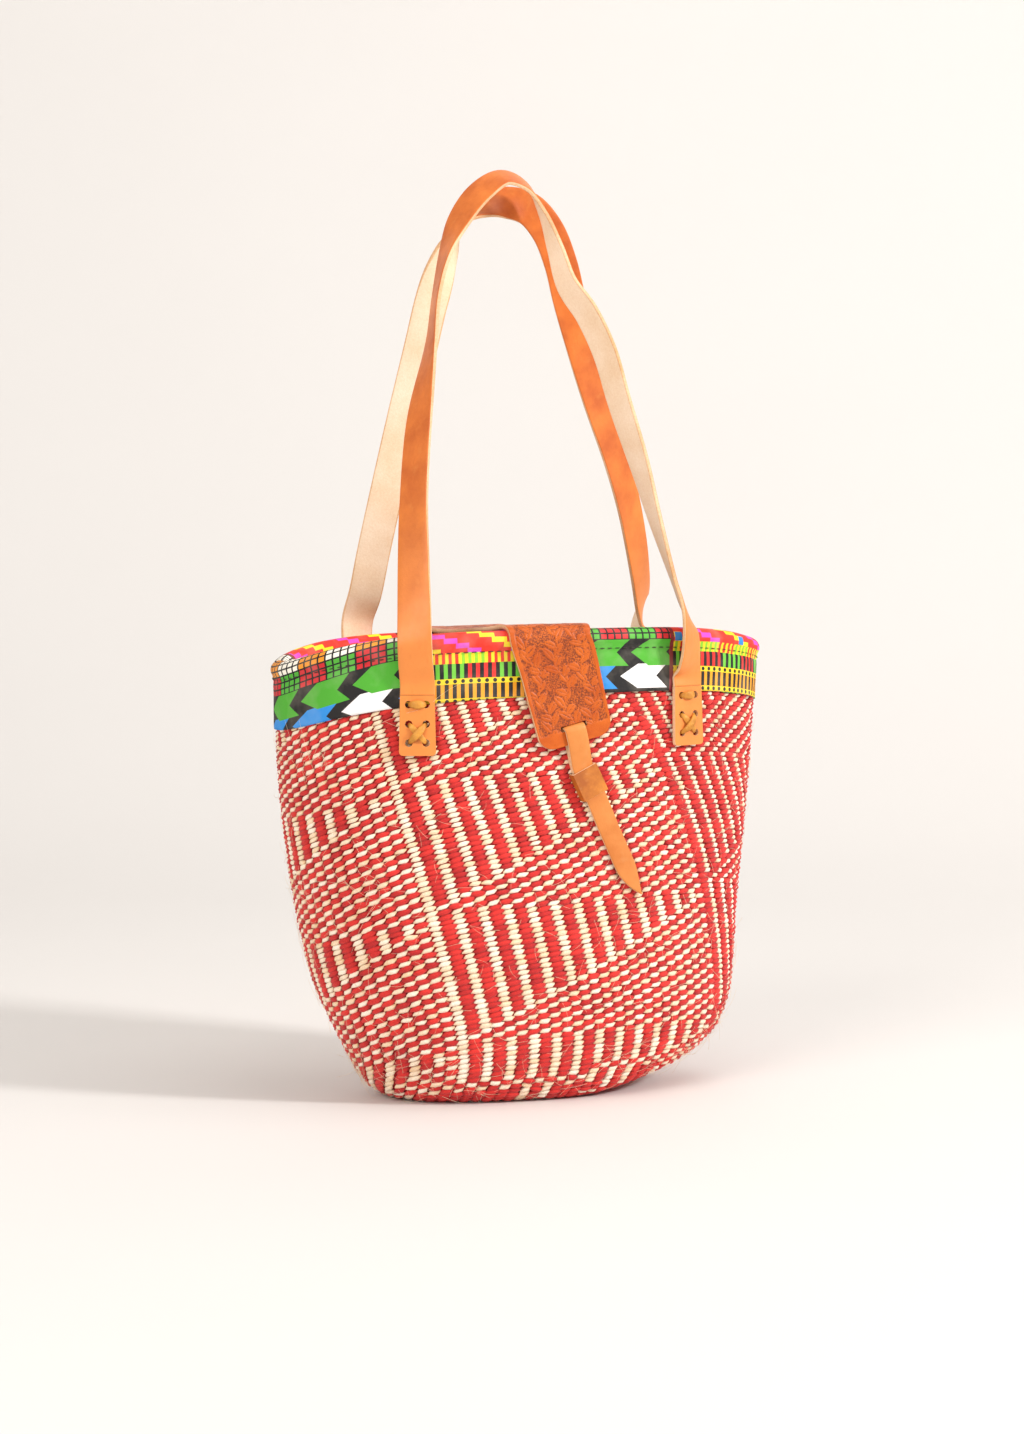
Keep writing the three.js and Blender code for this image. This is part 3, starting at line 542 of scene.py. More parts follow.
def printed_cotton():
    """Generic strip print: a check over arrows, and stepped lines over rows of bars."""
    f = Finish("printed cotton", roughness=0.75)
    x, y = f.uv()
    wobble = f.noise(f.place(), 30, 2) - 0.5
    black, yellow = srgb("151213"), srgb("ebcc1e")

    def inside(value, low, high):
        return (value > low) * (value < high)

    # The cloth lies a little askew on the left, and each panel starts at its own height
    askew = 0.104 * (x + 113).least(0).most(-100)
    along = x + wobble * 1.2
    down = y + askew + 7.9 * inside(x, 4, 83) + 4.5 * inside(x, 83, 225) + wobble * 1.2

    def bars_of(pitch, low, high, first, second):
        """Upright bars of a second dress over a first, from a low to a high share of each pitch."""
        return f.mix(inside((along / pitch) % 1, low, high), first, second)

    # First kind of panel: a check over two rows of arrows
    column = (along + 138.3) / 5.2
    row = (down - CHECK_EDGE) / 4.4 + 10
    square = inside(column % 1, 0.1, 0.86) * inside(row % 1, 0.12, 0.86)
    block = column.floor() % 8 < 3.5
    upper_dye = f.mix(block, srgb("f4efe2"), srgb("f0961c"))
    lower_dye = f.mix(block, srgb("50b036"), srgb("d0212a"))
    check = f.mix(square, black, f.mix(row < 7, lower_dye, upper_dye))

    def arrows(tip, middle, half):
        s = ((along - tip) % ARROW_PITCH) / 36.5
        w = abs(down - middle) / half
        return (w < s / 0.36) * (w < 1) * (s < (w * 0.24 + 0.76))

    white = ((along - 43.4) / ARROW_PITCH).floor() % 5 < 0.5
    pale_dye = f.mix(white, srgb("2a8fe0"), srgb("f6f2f2"))
    pale = f.mix(arrows(43.4, 44.2, 8.2), black, pale_dye)
    first = f.mix(down > CHECK_EDGE, check, f.mix(arrows(13, 28.4, 9), pale, srgb("4cab2c")))

    # Second kind of panel: stepped lines over rows of pins, bars and hoops
    ladder = (along + 96 - (down / 3.6).floor() * 8) % 60
    zigzag = f.mix(inside(ladder, 0, 9), srgb("e0311f"), srgb("d545c0"))
    zigzag = f.mix(inside(ladder, 32, 42), zigzag, srgb("f7dc1e"))
    zigzag = f.mix(inside((along + 95) % 60, 0, 6) * inside(down, 11, 17), zigzag, srgb("2a86d8"))
    pins = bars_of(4.4, 0.0, 0.5, bars_of(35.2, 0.0, 0.5, srgb("e23320"), srgb("8fd02e")), srgb("eed222"))
    bars = bars_of(5.4, 0.12, 0.62, black, bars_of(43.2, 0.0, 0.5, srgb("d92a25"), srgb("6cc33a")))
    hoops = bars_of(5.4, 0.2, 0.72, srgb("f0a01a"), black)
    bead = ((along / 5.4) % 1 - 0.5) * 5.4

    def dotted(middle):
        away = bead * bead + (down - middle) * (down - middle)
        return f.mix(away < 1.7, yellow, black)

    second = f.mix(down > 17.3, zigzag, pins)
    rows = ((24.3, bars), (34.2, dotted(36.0)), (37.8, hoops), (47.4, dotted(49.2)), (51.0, bars))
    for edge, dress in rows:
        second = f.mix(down > edge, second, dress)

    # Panels meet at dark red seams
    count = sum(x > place for place in SEAMS)
    seam = sum(abs(x - place) < 1.5 for place in SEAMS)
    cloth = f.mix(seam, f.mix(count % 2, first, second), srgb("7e1a1f"))
    fade = f.noise(f.place(), 60, 4)
    f.colour(f.mix(f.spread(fade, 0.45, 0.8, 0, 0.16), cloth, srgb("d9cdbb")))
    thread = (x * 9.0).sine() * (y * 9.0).sine()
    f.bump(thread * 0.25 + fade, 0.25, 0.5)
    return f.material


def leather(name, light, deep, roughness, coat, pores=900, blotch=40, wear="c98a52", foot=None):
    """Grain side of tanned hide: cloudy dye, pores, small creases and light rubbed places. foot is
    a lighter tone for the low ends of the straps."""
    f = Finish(name, roughness=roughness, Coat_Weight=coat, Coat_Roughness=0.25, Specular_IOR_Level=0.4)
    spot = f.place()
    cloud = f.noise(spot, blotch, 4, 0.6)
    pore = f.cells(spot, pores)
    crease = f.noise(f.place((1, 1, 0.35)), 260, 5, 0.6)
    body = f.mix(f.spread(cloud, 0.32, 0.68), srgb(deep), srgb(light))
    body = f.mix(f.spread(f.noise(spot, blotch * 3.1, 3), 0.6, 0.78) * 0.4, body, srgb(wear))
    if foot:
        spot = f.node("ShaderNodeTexCoord", out="Object")
        height = f.node("ShaderNodeSeparateXYZ", None, {0: spot}, 2)
        body = f.mix(f.spread(height, 0.3, 0.42, 0.75, 0), body, srgb(foot))
    f.colour(f.mix(f.spread(crease, 0.58, 0.75) * 0.25, body, srgb(deep)))
    f.rough(f.spread(cloud + crease, 0.6, 1.4, roughness + 0.12, roughness - 0.1))
    f.bump(pore * 0.5 + crease, 0.18, 0.55)
    return f.material


def flesh_side(name, light, deep):
    """Suede-like back and cut edges of the straps."""
    f = Finish(name, roughness=0.85)
    spot = f.place()
    nap = f.noise(spot, 700, 5, 0.7)
    cloud = f.noise(spot, 30, 3)
    f.colour(f.mix(f.spread(nap * 0.5 + cloud * 0.7, 0.4, 0.8), srgb(deep), srgb(light)))
    f.bump(nap, 0.3, 0.6)
    return f.material


def tooled_leather():
    """Stamped leaves: dark lines and stippled hollows between raised, lighter leaves."""
    f = Finish("tooled flap leather", roughness=0.5, Coat_Weight=0.06, Specular_IOR_Level=0.3)
    spot = f.place()
    cut = f.attribute("cut")
    cloud = f.noise(spot, 55, 4, 0.6)
    stain = f.noise(spot, 300, 4, 0.7)
    stipple = f.noise(spot, 1000, 2, 0.6)
    body = f.mix(f.spread(cloud, 0.3, 0.7), srgb("b14a0d"), srgb("cd6418"))
    low = f.mix(stain, srgb("5a2212"), srgb("8a3d16"))
    mask = f.spread(cut + (stipple - 0.5) * 2.6 + (stain - 0.5) * 0.8, 0.45, 0.95)
    f.colour(f.mix(mask, body, low))
    f.rough(f.spread(cut, 0, 1, 0.38, 0.6))
    f.bump(f.cells(spot, 1100) * 0.4 + stain * 0.8 - cut * 0.6, 0.3, 0.6)
    return f.material


def plain(name, colour, other, roughness, scale, depth=0.2, strength=0.6):
    f = Finish(name, roughness=roughness)
    grain = f.noise(f.place(), scale, 3)
    f.colour(f.mix(grain, srgb(colour), srgb(other)))
    f.bump(grain, depth, strength)
    return f.material


# The deep colours are partly the sisal's own darker tone and partly painted shade at the stitches' ends
RED = sisal("red sisal", "e8322a", "a51018", "ea806c")
CREAM = sisal("pale sisal", "fff8ea", "efc896", "fffdf6")
# The yarn seen between the stitches is a darker red than the stitches, as painted shade in the gaps
YARN = plain("yarn between the stitches", "861518", "b8292a", 0.95, 500, 0.6, 0.8)
LINING = lining_cotton()
PRINT = printed_cotton()
GRAIN = leather("strap grain side", "e37e33", "c15d20", 0.44, 0.1, wear="da873f", foot="e78e42")
FLESH = flesh_side("strap flesh side", "f8e3cb", "e4c29c")
EDGE = flesh_side("strap cut edge", "eecba6", "c9925f")
TOOLED = tooled_leather()
STRIP = leather("strip leather", "dc8d46", "c4702c", 0.5, 0.08, blotch=28)
KEEPER = leather("keeper leather", "d5842f", "a3561a", 0.45, 0.12, blotch=70)
THONG = leather("thong leather", "dc9a3c", "b06e1e", 0.55, 0.05, pores=1300, blotch=120, wear="edbb66")
THREAD = plain("sewing thread", "28201f", "3a2c28", 0.7, 900)
ROPE = plain("rim rope", "d8c49c", "a98f63", 0.9, 300, 0.6)
FIBRE = plain("loose fibres", "f2e2c2", "dcb99a", 0.8, 200)


# The twined wall

# Stitches in a round, each panel's first stitch and how many rows down its wedges are moved
ROUND = 112
PANEL_STARTS = (0, 26, 52, 69, 86)
ROW_SHIFTS = (0, -2, 5, -7, 2)
# 1 where a panel starts with a red rib, and 0 with a pale one
STARTS_RED = (0, 1, 0, 0, 0)
# Rows from one wedge to the next, and the row where the worn base starts
WEDGE = 26
WORN_ROW = 60
# Slants of pale and red stitches in degrees, and how far out their middles lie
SLANTS = (22.0, 15.0)
FACE_OUT = -0.8
# The rows' number at the rim, how many there are to a millimetre, how they widen further down and
# how they climb across the bag
FIRST_ROW = -30.4
ROWS_PER_MM = 0.33
ROWS_WIDEN = 0.00012
ROWS_CLIMB = 0.01
# The stitch in the middle of the front, how many there are to a millimetre at the sides and behind,
# and how far to the left and right the front's own spacing goes
MIDDLE_STITCH = 21.9
STITCHES_PER_MM = 0.125
FRONT_REACH = (-150, 140)
# How far the stitches go on under the printed cloth
UNDER_BAND = 3.5


def row_index(drop, x):
    """Row of stitches, counted downward from the top of a wedge, at a distance below the rim."""
    return ROWS_PER_MM * drop - ROWS_WIDEN * drop * drop + ROWS_CLIMB * x + FIRST_ROW


def column_index(across, drop):
    """Stitch along a row, counted to the right from the middle panel's border."""
    near = np.clip(across, *FRONT_REACH)
    lean = -0.0896 * drop + 0.000157 * drop * drop
    spread = 0.1676 - 0.00043 * drop + 0.00000102 * drop * drop + 0.000051 * near
    return MIDDLE_STITCH + lean + spread * near + STITCHES_PER_MM * (across - near)


def is_pale(column, row):
    """Panels with wedges of upright stripes, and slanting lines between the wedges."""
    column = column % ROUND
    panel = np.searchsorted(PANEL_STARTS, column, side="right") - 1
    inner = column - np.array(PANEL_STARTS)[panel]
    down = (row - np.array(ROW_SHIFTS)[panel]) % WEDGE
    rib = inner + np.array(STARTS_RED)[panel]
    pale = np.where(down < WEDGE - inner, rib % 2 == 0, (rib + down) % 2 == 0)
    # The rows next to the base are uneven and worn, and mostly red
    worn = row - WORN_ROW - np.rint(1.5 * np.sin(column * 0.31))
    chance = np.sin(column // 2 * 12.9898 + row // 3 * 78.233) * 43758.5 % 1
    pale = np.where(worn >= 0, (column + row) % 2 == 0, pale)
    pale = np.where(worn >= 2, (column % 2 == 0) & (chance < 0.6), pale)
    return np.where(worn >= 6, chance > 0.86, pale)


def weave_places():
    """Number, row, angle, level, drop and row way of every stitch."""
    angles = np.linspace(-math.pi + 1e-4, math.pi - 1e-4, 721)
    middle, side = 180, 360
    parts = [np.linspace(-0.985, -0.02, 40), np.linspace(0, 0.12, 40), np.linspace(0.125, 0.9, 130)]
    levels = np.concatenate(parts)
    grid_a, grid_l = np.meshgrid(angles, levels, indexing="ij")
    points = bag_point(grid_a, grid_l)
    steps = np.linalg.norm(np.diff(points, axis=1), axis=2)
    top = (1 - levels[-1]) * rim_height(points[:, -1, 0], points[:, -1, 1])
    climb = np.cumsum(steps[:, ::-1], axis=1)[:, ::-1]
    drops = top[:, None] + np.concatenate([climb, np.zeros((len(angles), 1))], axis=1)
    rows_at = row_index(drops, points[..., 0])
    runs = np.linalg.norm(np.diff(points, axis=0), axis=2)
    around = np.concatenate([np.zeros((1, len(levels))), np.cumsum(runs, axis=0)])
    columns_at = column_index(around - around[middle], drops)
    # Behind, the stitches share out the way back to the left end, and keep their length at the sides
    left, right = columns_at[0], columns_at[side]
    back = around[-1] - around[side]
    share = (around[side:] - around[side]) / back
    behind = left + ROUND - right
    start = STITCHES_PER_MM * back / behind
    share = share + (start - 1) * share * (1 - share) * (1 - 2 * share)
    columns_at[side:] = right + share * behind
    parts = []
    for row in range(math.ceil(rows_at.min()), math.floor(rows_at.max()) + 1):
        inside = (rows_at[:, -1] <= row) & (row <= rows_at[:, 0])
        edges = np.flatnonzero(np.diff(np.concatenate([[0], inside.astype(int), [0]])))
        for first, last in zip(edges[::2], edges[1::2]):
            if last - first < 4:
                continue
            span = range(first, last)
            level = np.array([np.interp(-row, -rows_at[k], levels) for k in span])
            column, drop = (
                np.array([np.interp(v, levels, table[k]) for k, v in zip(span, level)])
                for table in (columns_at, drops)
            )
            keep = np.concatenate([[True], np.diff(np.maximum.accumulate(column)) > 1e-6])
            level, column, drop, angle = (v[keep] for v in (level, column, drop, angles[first:last]))
            index = np.arange(math.ceil(column[0]), math.floor(column[-1]) + 1)
            if len(column) < 3 or len(index) == 0:
                continue

            def at(spots):
                return bag_point(np.interp(spots, column, angle), np.interp(spots, column, level))

            start, end = np.maximum(index - 0.5, column[0]), np.minimum(index + 0.5, column[-1])
            reach = (at(end) - at(start)) / np.maximum(end - start, 0.2)[:, None]
            found = [np.interp(index, column, values) for values in (angle, level, drop)]
            parts.append((index, np.full(len(index), row), *found, reach))
    return [np.concatenate(values) for values in zip(*parts)]


def hidden_by_band(points):
    drop = rim_height(points[:, 0], points[:, 1]) - points[:, 2]
    return drop < band_edge(points[:, 0]) - UNDER_BAND


def make_weave():
    shapes = {"red": small_shape(6, 5, 0.1, 0.12), "pale": small_shape(6, 5, 0.6, 0.3)}
    found = weave_places()
    points = bag_point(found[2], found[3])
    show = ~hidden_by_band(points)
    index, row, angle, level, drop, reach, points = (v[show] for v in (*found, points))
    normal = bag_normal(angle, level)
    pitch = np.clip(np.linalg.norm(reach, axis=1), 4.0, 11.0)
    ahead = unit(reach - normal * np.sum(reach * normal, axis=1, keepdims=True))
    across = np.cross(normal, ahead)
    pale = is_pale(index, row)
    count = len(points)
    worn = smoothstep(row, WORN_ROW - 3, WORN_ROW + 4)
    turn = np.radians(np.where(pale, *SLANTS) + rng.normal(0, 3.5, count) * (1 + 3 * worn))[:, None]
    long_way = ahead * np.cos(turn) + across * np.sin(turn)
    short_way = across * np.cos(turn) - ahead * np.sin(turn)
    # On the panel at the right, the red ribs stand out and half hide the pale stitches
    tight = (index % ROUND >= PANEL_STARTS[1]) & (index % ROUND < PANEL_STARTS[2])
    lengths = pitch * np.where(pale, 0.58 - 0.08 * tight, 0.66 + 0.07 * tight)
    row_pitch = 1 / (ROWS_PER_MM - 2 * ROWS_WIDEN * drop)
    widths = row_pitch * np.where(pale, 0.51, 0.57)
    heights = np.where(pale, 1.7, 1.85)
    sizes = (1 + rng.normal(0, 0.06, (count, 3))) * np.stack([lengths, widths, heights], -1)
    sink = FACE_OUT - 0.5 * (pale & tight) - 1.1 * smoothstep(level, 0.03, -0.02)
    sink = sink + rng.normal(0, 0.1, count)
    origins = points + normal * sink[:, None] + rng.normal(0, 0.12, (count, 3))
    origins[:, 2] = np.maximum(origins[:, 2], 1.6)
    shades = rng.uniform(0, 1, count)
    for colour, kind, material in (("red", ~pale, RED), ("pale", pale, CREAM)):
        for where, side in (("front", angle < 0), ("back", angle >= 0)):
            mask = kind & side
            places = placed(*(v[mask] for v in (origins, long_way, short_way, normal, sizes)))
            mesh = repeated(shapes[colour], places, shades[mask])
            finish_piece(f"{colour}_stitches_{where}", mesh, [material], "bag")


def shell(top_drop, across, along, depths, lift=0.0, uv=None):
    """A shell from the base's spine up to a drop below the rim and back inside. depths gives how far
    its outer and inner side lie out from the wall, and lift raises it over the base."""
    top = drop_share(top_drop)

    def place(u, v):
        angle = 2 * math.pi * u
        outer = v < 0.5
        level = -1 + np.where(outer, v * 2, (1 - v) * 2) * (1 + top)
        depth = np.where(outer, *depths(angle, level))
        points = bag_point(angle, level) + bag_normal(angle, level) * depth[:, None]
        points[:, 2] += np.where(level < 0, lift, 0.0)
        return points

    bm = mapped_grid(across, along, place, uv=uv)
    bmesh.ops.remove_doubles(bm, verts=bm.verts, dist=2e-5)
    bmesh.ops.recalc_face_normals(bm, faces=bm.faces)
    return bm


def make_wall():
    """The yarn wall under the stitches, in a darker red that is painted shade in the gaps between them.
    """
    bm = shell(14.0, 160, 120, lambda angle, level: (-1.3, -WALL + 0.1))
    new_piece("yarn_wall", bm, [YARN], "bag", ["woven_body"])


def make_lining():
    def depths(angle, level):
        soft = 0.28 * np.sin(angle * 23 + 5 * np.sin(level * 7)) * np.sin(level * 17 + angle * 3)
        return -WALL - 0.35, -LINING_IN + 0.05 + soft

    bm = shell(15.2, 180, 120, depths, 0.6, lambda u, v: (u * 9, v * 7))
    new_piece("lining_cloth", bm, [LINING], "bag", ["lining"])


# The printed rim

# The cloth's round starts and ends in the middle of the back
RIM_START = -1.5 * math.pi
# How far out from the wall the cloth's outer and inner sides hang
BAND_OUT = 1.85
BAND_IN = -7.75
# The line of stitches under the roll: their spacing, drop and distance out
STITCH_SPACING = 5.6
STITCH_DROP = 13.2
STITCH_OUT = 2.3


def rim_arc():
    """Distance round the rim from the middle of the front, for angles from -270 to 90 degrees."""
    angle = np.linspace(RIM_START, 0.5 * math.pi, 1441)
    run = run_along(wall_point(angle, np.full_like(angle, 0.95)))
    return angle, run - np.interp(-0.5 * math.pi, angle, run)


ARC_ANGLE, ARC_RUN = rim_arc()


def band_edge(x):
    """How far below the rim the printed cloth ends, outside."""
    u = x / MOUTH_HALF_WIDTH
    return BAND_DROP + 3 * (u * u - u)


def rim_place(angle, drop, outward):
    height = drop_share(np.maximum(drop, 0))
    point = off_wall(angle, height, outward)
    point[..., 2] += np.maximum(-drop, 0)
    return point


def band_section(angle, v):
    """Drop, outward and distance from the roll's top, down the band's section from outside to in."""
    radius = ROLL_RADIUS + 0.15
    # The bend over the roll, in degrees up from straight outward, and the straight parts' lengths
    start, end = -38.0, 218.0
    bend = radius * math.radians(end - start)
    outside = band_edge(wall_point(angle, np.ones_like(angle))[..., 0]) - 10.5
    inner = BAND_INNER_DROP - 10.6
    s = v * (outside + bend + inner)
    turn = np.radians(start + (end - start) * np.clip((s - outside) / bend, 0, 1))
    arc_drop = ROLL_RADIUS - radius * np.sin(turn)
    arc_out = -ROLL_SET_IN + radius * np.cos(turn)
    before = np.clip(1 - s / outside, 0, 1)
    after = np.clip((s - outside - bend) / inner, 0, 1)
    drop = arc_drop + before * outside + after * inner
    out = arc_out + (BAND_OUT - arc_out) * smoothstep(before, 0, 0.12)
    inward = arc_out + (BAND_IN - arc_out) * smoothstep(after, 0, 0.12)
    from_top = outside + bend * (90 - start) / (end - start) - s
    return drop, np.where(after > 0, inward, out), from_top


def make_band():
    def place(u, v):
        angle = RIM_START + 2 * math.pi * u
        drop, out, top = band_section(angle, v)
        run = np.interp(angle, ARC_ANGLE, ARC_RUN)
        pucker = np.sin(run * 0.62 + 2.2 * np.sin(run * 0.071)) * np.exp(-((top - 19) / 5.0) ** 2)
        dent = np.exp(-((top - 19.5) / 1.5) ** 2)
        wave = np.sin(run * 0.11 + 1.3 * np.sin(run * 0.037)) * np.exp(-((top - 4) / 12.0) ** 2)
        loose = 0.25 * np.sin(run * 0.21 + top * 0.09) * np.clip((top - 26) / 10, 0, 1)
        return rim_place(angle, drop, out + 0.28 * pucker - 0.45 * dent + 0.35 * wave + loose)

    def uv(u, v):
        angle = RIM_START + 2 * math.pi * u
        return np.interp(angle, ARC_ANGLE, ARC_RUN) / UV_MM, band_section(angle, v)[2] / UV_MM

    bm = mapped_grid(440, 50, place, uv=uv)
    bmesh.ops.recalc_face_normals(bm, faces=bm.faces)
    bmesh.ops.solidify(bm, geom=list(bm.faces), thickness=1.0 * MM)
    bmesh.ops.recalc_face_normals(bm, faces=bm.faces)
    new_piece("printed_band", bm, [PRINT], "bag", ["rim_band"])


def make_topstitch():
    spots = np.arange(ARC_RUN[0] + 3, ARC_RUN[-1] - 2, STITCH_SPACING)
    angle = np.interp(spots, ARC_RUN, ARC_ANGLE)
    drop, out = np.full_like(angle, STITCH_DROP), np.full_like(angle, STITCH_OUT)
    points = rim_place(angle, drop, out)
    ahead = unit(rim_place(angle + 0.004, drop, out) - points)
    normal = wall_normal(angle, drop_share(drop))
    sizes = np.tile((1.9, 0.34, 0.34), (len(spots), 1))
    places = placed(points, ahead, np.cross(normal, ahead), normal, sizes)
    mesh = repeated(small_shape(5, 4), places, rng.uniform(0, 1, len(spots)))
    finish_piece("rim_topstitch", mesh, [THREAD], "bag")


# Straps

# Half width of the section that is fitted to each strap's width, and its corners' radius
SECTION_HALF = 10.0
CORNER = 0.85
HANDLE_STEPS = 260


def strap_section(half_thickness):
    """Points round a wide strap's section, with round corners and slightly bulging sides."""
    points = []
    steps, spans = 3, 6
    flat, rise = SECTION_HALF - CORNER, half_thickness - CORNER
    for side, face, start in ((1, 1, 0), (-1, 1, 90), (-1, -1, 180), (1, -1, 270)):
        for k in range(steps + 1):
            a = math.radians(start + 90 * k / steps)
            points.append((side * flat + CORNER * math.cos(a), face * rise + CORNER * math.sin(a)))
        if side == face:
            for k in range(1, spans):
                bulge = 0.12 * math.sin(math.pi * k / spans)
                points.append((side * flat * (1 - 2 * k / spans), face * (half_thickness + bulge)))
    return np.array(points)


def make_ribbon(name, axes, width, thickness, materials, body, node):
    """A strap through middles, across ways and face ways, with its half width at each. materials
    are grain, flesh and edge."""
    middle, across, normal = axes
    base = strap_section(thickness / 2)
    count, last = len(base), len(middle) - 1
    lengths = run_along(middle)

    def place(u, v):
        i = np.clip(np.rint(v * last).astype(int), 0, last)
        x, y = base[np.rint(u * count).astype(int) % count].T
        w = width[i]
        rounded = np.sign(x) * (w - (SECTION_HALF - np.abs(x)))
        flat = x / (SECTION_HALF - CORNER) * np.maximum(w - CORNER, 0.02)
        bent = np.where(np.abs(x) < 9.1, flat, rounded)
        bent = np.where(w < 1.0, x / SECTION_HALF * w, bent)
        return middle[i] + across[i] * bent[:, None] + normal[i] * y[:, None]

    def face_kind(u, v):
        j = int(u * count) % count
        x, y = (base[j] + base[(j + 1) % count]) / 2
        if abs(x) > 9.3:
            return 2 if y < thickness / 2 - 0.35 else 0
        return 0 if y > 0 else 1

    def uv(u, v):
        return u * 0.5, lengths[np.rint(v * last).astype(int)] / UV_MM

    bm = mapped_grid(count, last, place, uv=uv, material=face_kind)
    return new_piece(name, close_ends(bm), materials, body, [node])


def facing(route):
    ways = []
    for _, _, _, around, rise in route:
        a, r = math.radians(around), math.radians(rise)
        ways.append((math.cos(r) * math.sin(a), -math.cos(r) * math.cos(a), math.sin(r)))
    return ways


def bend_point(place, above):
    return in_frame(place, 0, STRAP_END_LENGTH / 2 + above, STRAP_SEAT + STRAP_THICKNESS / 2)


def make_handle(where, route, rise):
    left, right = ANCHORS[f"{where}_left"], ANCHORS[f"{where}_right"]
    start, end = bend_point(left, 0.12), bend_point(right, 0.12)
    centre, half, base = (start[0] + end[0]) / 2, (end[0] - start[0]) / 2, (start[2] + end[2]) / 2
    middles = [(centre + half * r[0], MOUTH_HALF_DEPTH * r[1], base + rise * r[2]) for r in route]
    foot, other_foot = bend_point(left, STRAP_STRAIGHT), bend_point(right, STRAP_STRAIGHT)
    points = np.array([start, foot, *middles, other_foot, end])
    ways = np.array([*[left["normal"]] * 2, *facing(route), *[right["normal"]] * 2])
    axes = ribbon_axes(points, ways, np.linspace(0, 1, HANDLE_STEPS + 1))
    width, materials = np.full(HANDLE_STEPS + 1, STRAP_WIDTH / 2), [GRAIN, FLESH, EDGE]
    body = f"handle_{where}"
    node = f"{body}_strap"
    make_ribbon(f"{where}_handle", axes, width, STRAP_THICKNESS, materials, body, node)


# Where the strap ends and the flap's end lie on the wall
END_DROP = BEND_DROP + STRAP_END_LENGTH / 2
ANCHORS = {
    "front_left": wall_frame(-98.0, END_DROP, True),
    "front_right": wall_frame(93.0, END_DROP, True),
    "back_left": wall_frame(-90.0, END_DROP, False),
    "back_right": wall_frame(114.0, END_DROP, False),
}
TAB_DROP = 16.0
TAB_HEIGHT = 42.0
TAB = wall_frame(-20.0, TAB_DROP + TAB_HEIGHT / 2, False)


def strap_faces(lean):
    """Grain, flesh or edge, by how far a face looks outward."""
    return 0 if lean > 0.6 else (1 if lean < -0.6 else 2)


def cut_faces(lean):
    """Grain, or the cut edge where a face looks along the strip."""
    return 1 if abs(lean) > 0.8 else 0


def softened(name, node, width, materials, outward, kind=strap_faces):
    """A rigid node with its sharp edges rounded off by a small width."""
    bm = bmesh.new()
    bm.from_mesh(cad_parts[node].data)
    bmesh.ops.remove_doubles(bm, verts=bm.verts, dist=1e-6)
    bmesh.ops.dissolve_limit(bm, angle_limit=0.01, verts=bm.verts, edges=bm.edges)
    sharp = [edge for edge in bm.edges if len(edge.link_faces) == 2 and edge.calc_face_angle(0) > 0.8]
    round_off = {"offset": width * MM, "segments": 2, "profile": 0.5, "affect": "EDGES", "material": -1}
    bmesh.ops.bevel(bm, geom=sharp, clamp_overlap=True, **round_off)
    bmesh.ops.triangulate(bm, faces=[face for face in bm.faces if len(face.verts) > 4])
    for face in bm.faces:
        face.material_index = kind(face.normal.dot(Vector(outward)))
    return new_piece(name, bm, materials, "bag", [node], smooth=False)


def thong_tube(name, points, ways, sizes, node, closed):
    """A flattened thong along a path, with its width and thickness at each point."""
    path, ways, sizes = (np.array(values, float) for values in (points, ways, sizes))
    count, steps = len(path), len(path) * 7
    t = np.linspace(0, 1, steps + 1)
    if closed:
        t = (2 + t * count) / (count + 4)
        path, ways, sizes = (np.vstack([v[-2:], v, v[:3]]) for v in (path, ways, sizes))
    middle, across, normal = ribbon_axes(path, ways, t, 1e-3)
    size = curve_points(sizes, t, False)

    def place(u, v):
        i = np.clip(np.rint(v * steps).astype(int), 0, steps)
        a = 2 * math.pi * u
        x = size[i, 0] / 2 * powered(np.cos(a), 0.8)
        y = size[i, 1] / 2 * powered(np.sin(a), 0.8)
        return middle[i] + across[i] * x[:, None] + normal[i] * y[:, None]

    bm = mapped_grid(12, steps, place)
    bmesh.ops.remove_doubles(bm, verts=bm.verts, dist=2e-6)
    return new_piece(name, close_ends(bm), [THONG], "bag", [node])


def make_bar(name, place, x0, x1, y, out, inside, node):
    """A loop of thong through two holes, fat outside and flat inside."""
    face = out + 1.5
    # Distance from the end, height, width and thickness, up one leg and along the inside
    leg = [(0.6, 0.0, 3.0, 2.4), (1.0, out - 0.8, 3.6, 2.2), (3.0, face - 0.2, 5.0, 2.0)]
    back = [(0.2, inside + 0.6, 3.2, 2.6), (2.4, inside - 0.5, 3.2, 2.0)]
    spots = [(x0 + s[0], *s[1:]) for s in leg] + [((x0 + x1) / 2, face + 0.1, 5.8, 2.2)]
    spots += [(x1 - s[0], *s[1:]) for s in leg[::-1] + back] + [(x0 + s[0], *s[1:]) for s in back[::-1]]
    middle = np.array([(x0 + x1) / 2, (out + inside) / 2])
    points = [in_frame(place, x, y, z) for x, z, _, _ in spots]
    away = [np.array(spot[:2]) - middle for spot in spots]
    ways = [a[0] * 0.35 * place["side"] + a[1] * place["normal"] for a in away]
    thong_tube(name, points, ways, [spot[2:] for spot in spots], node, True)


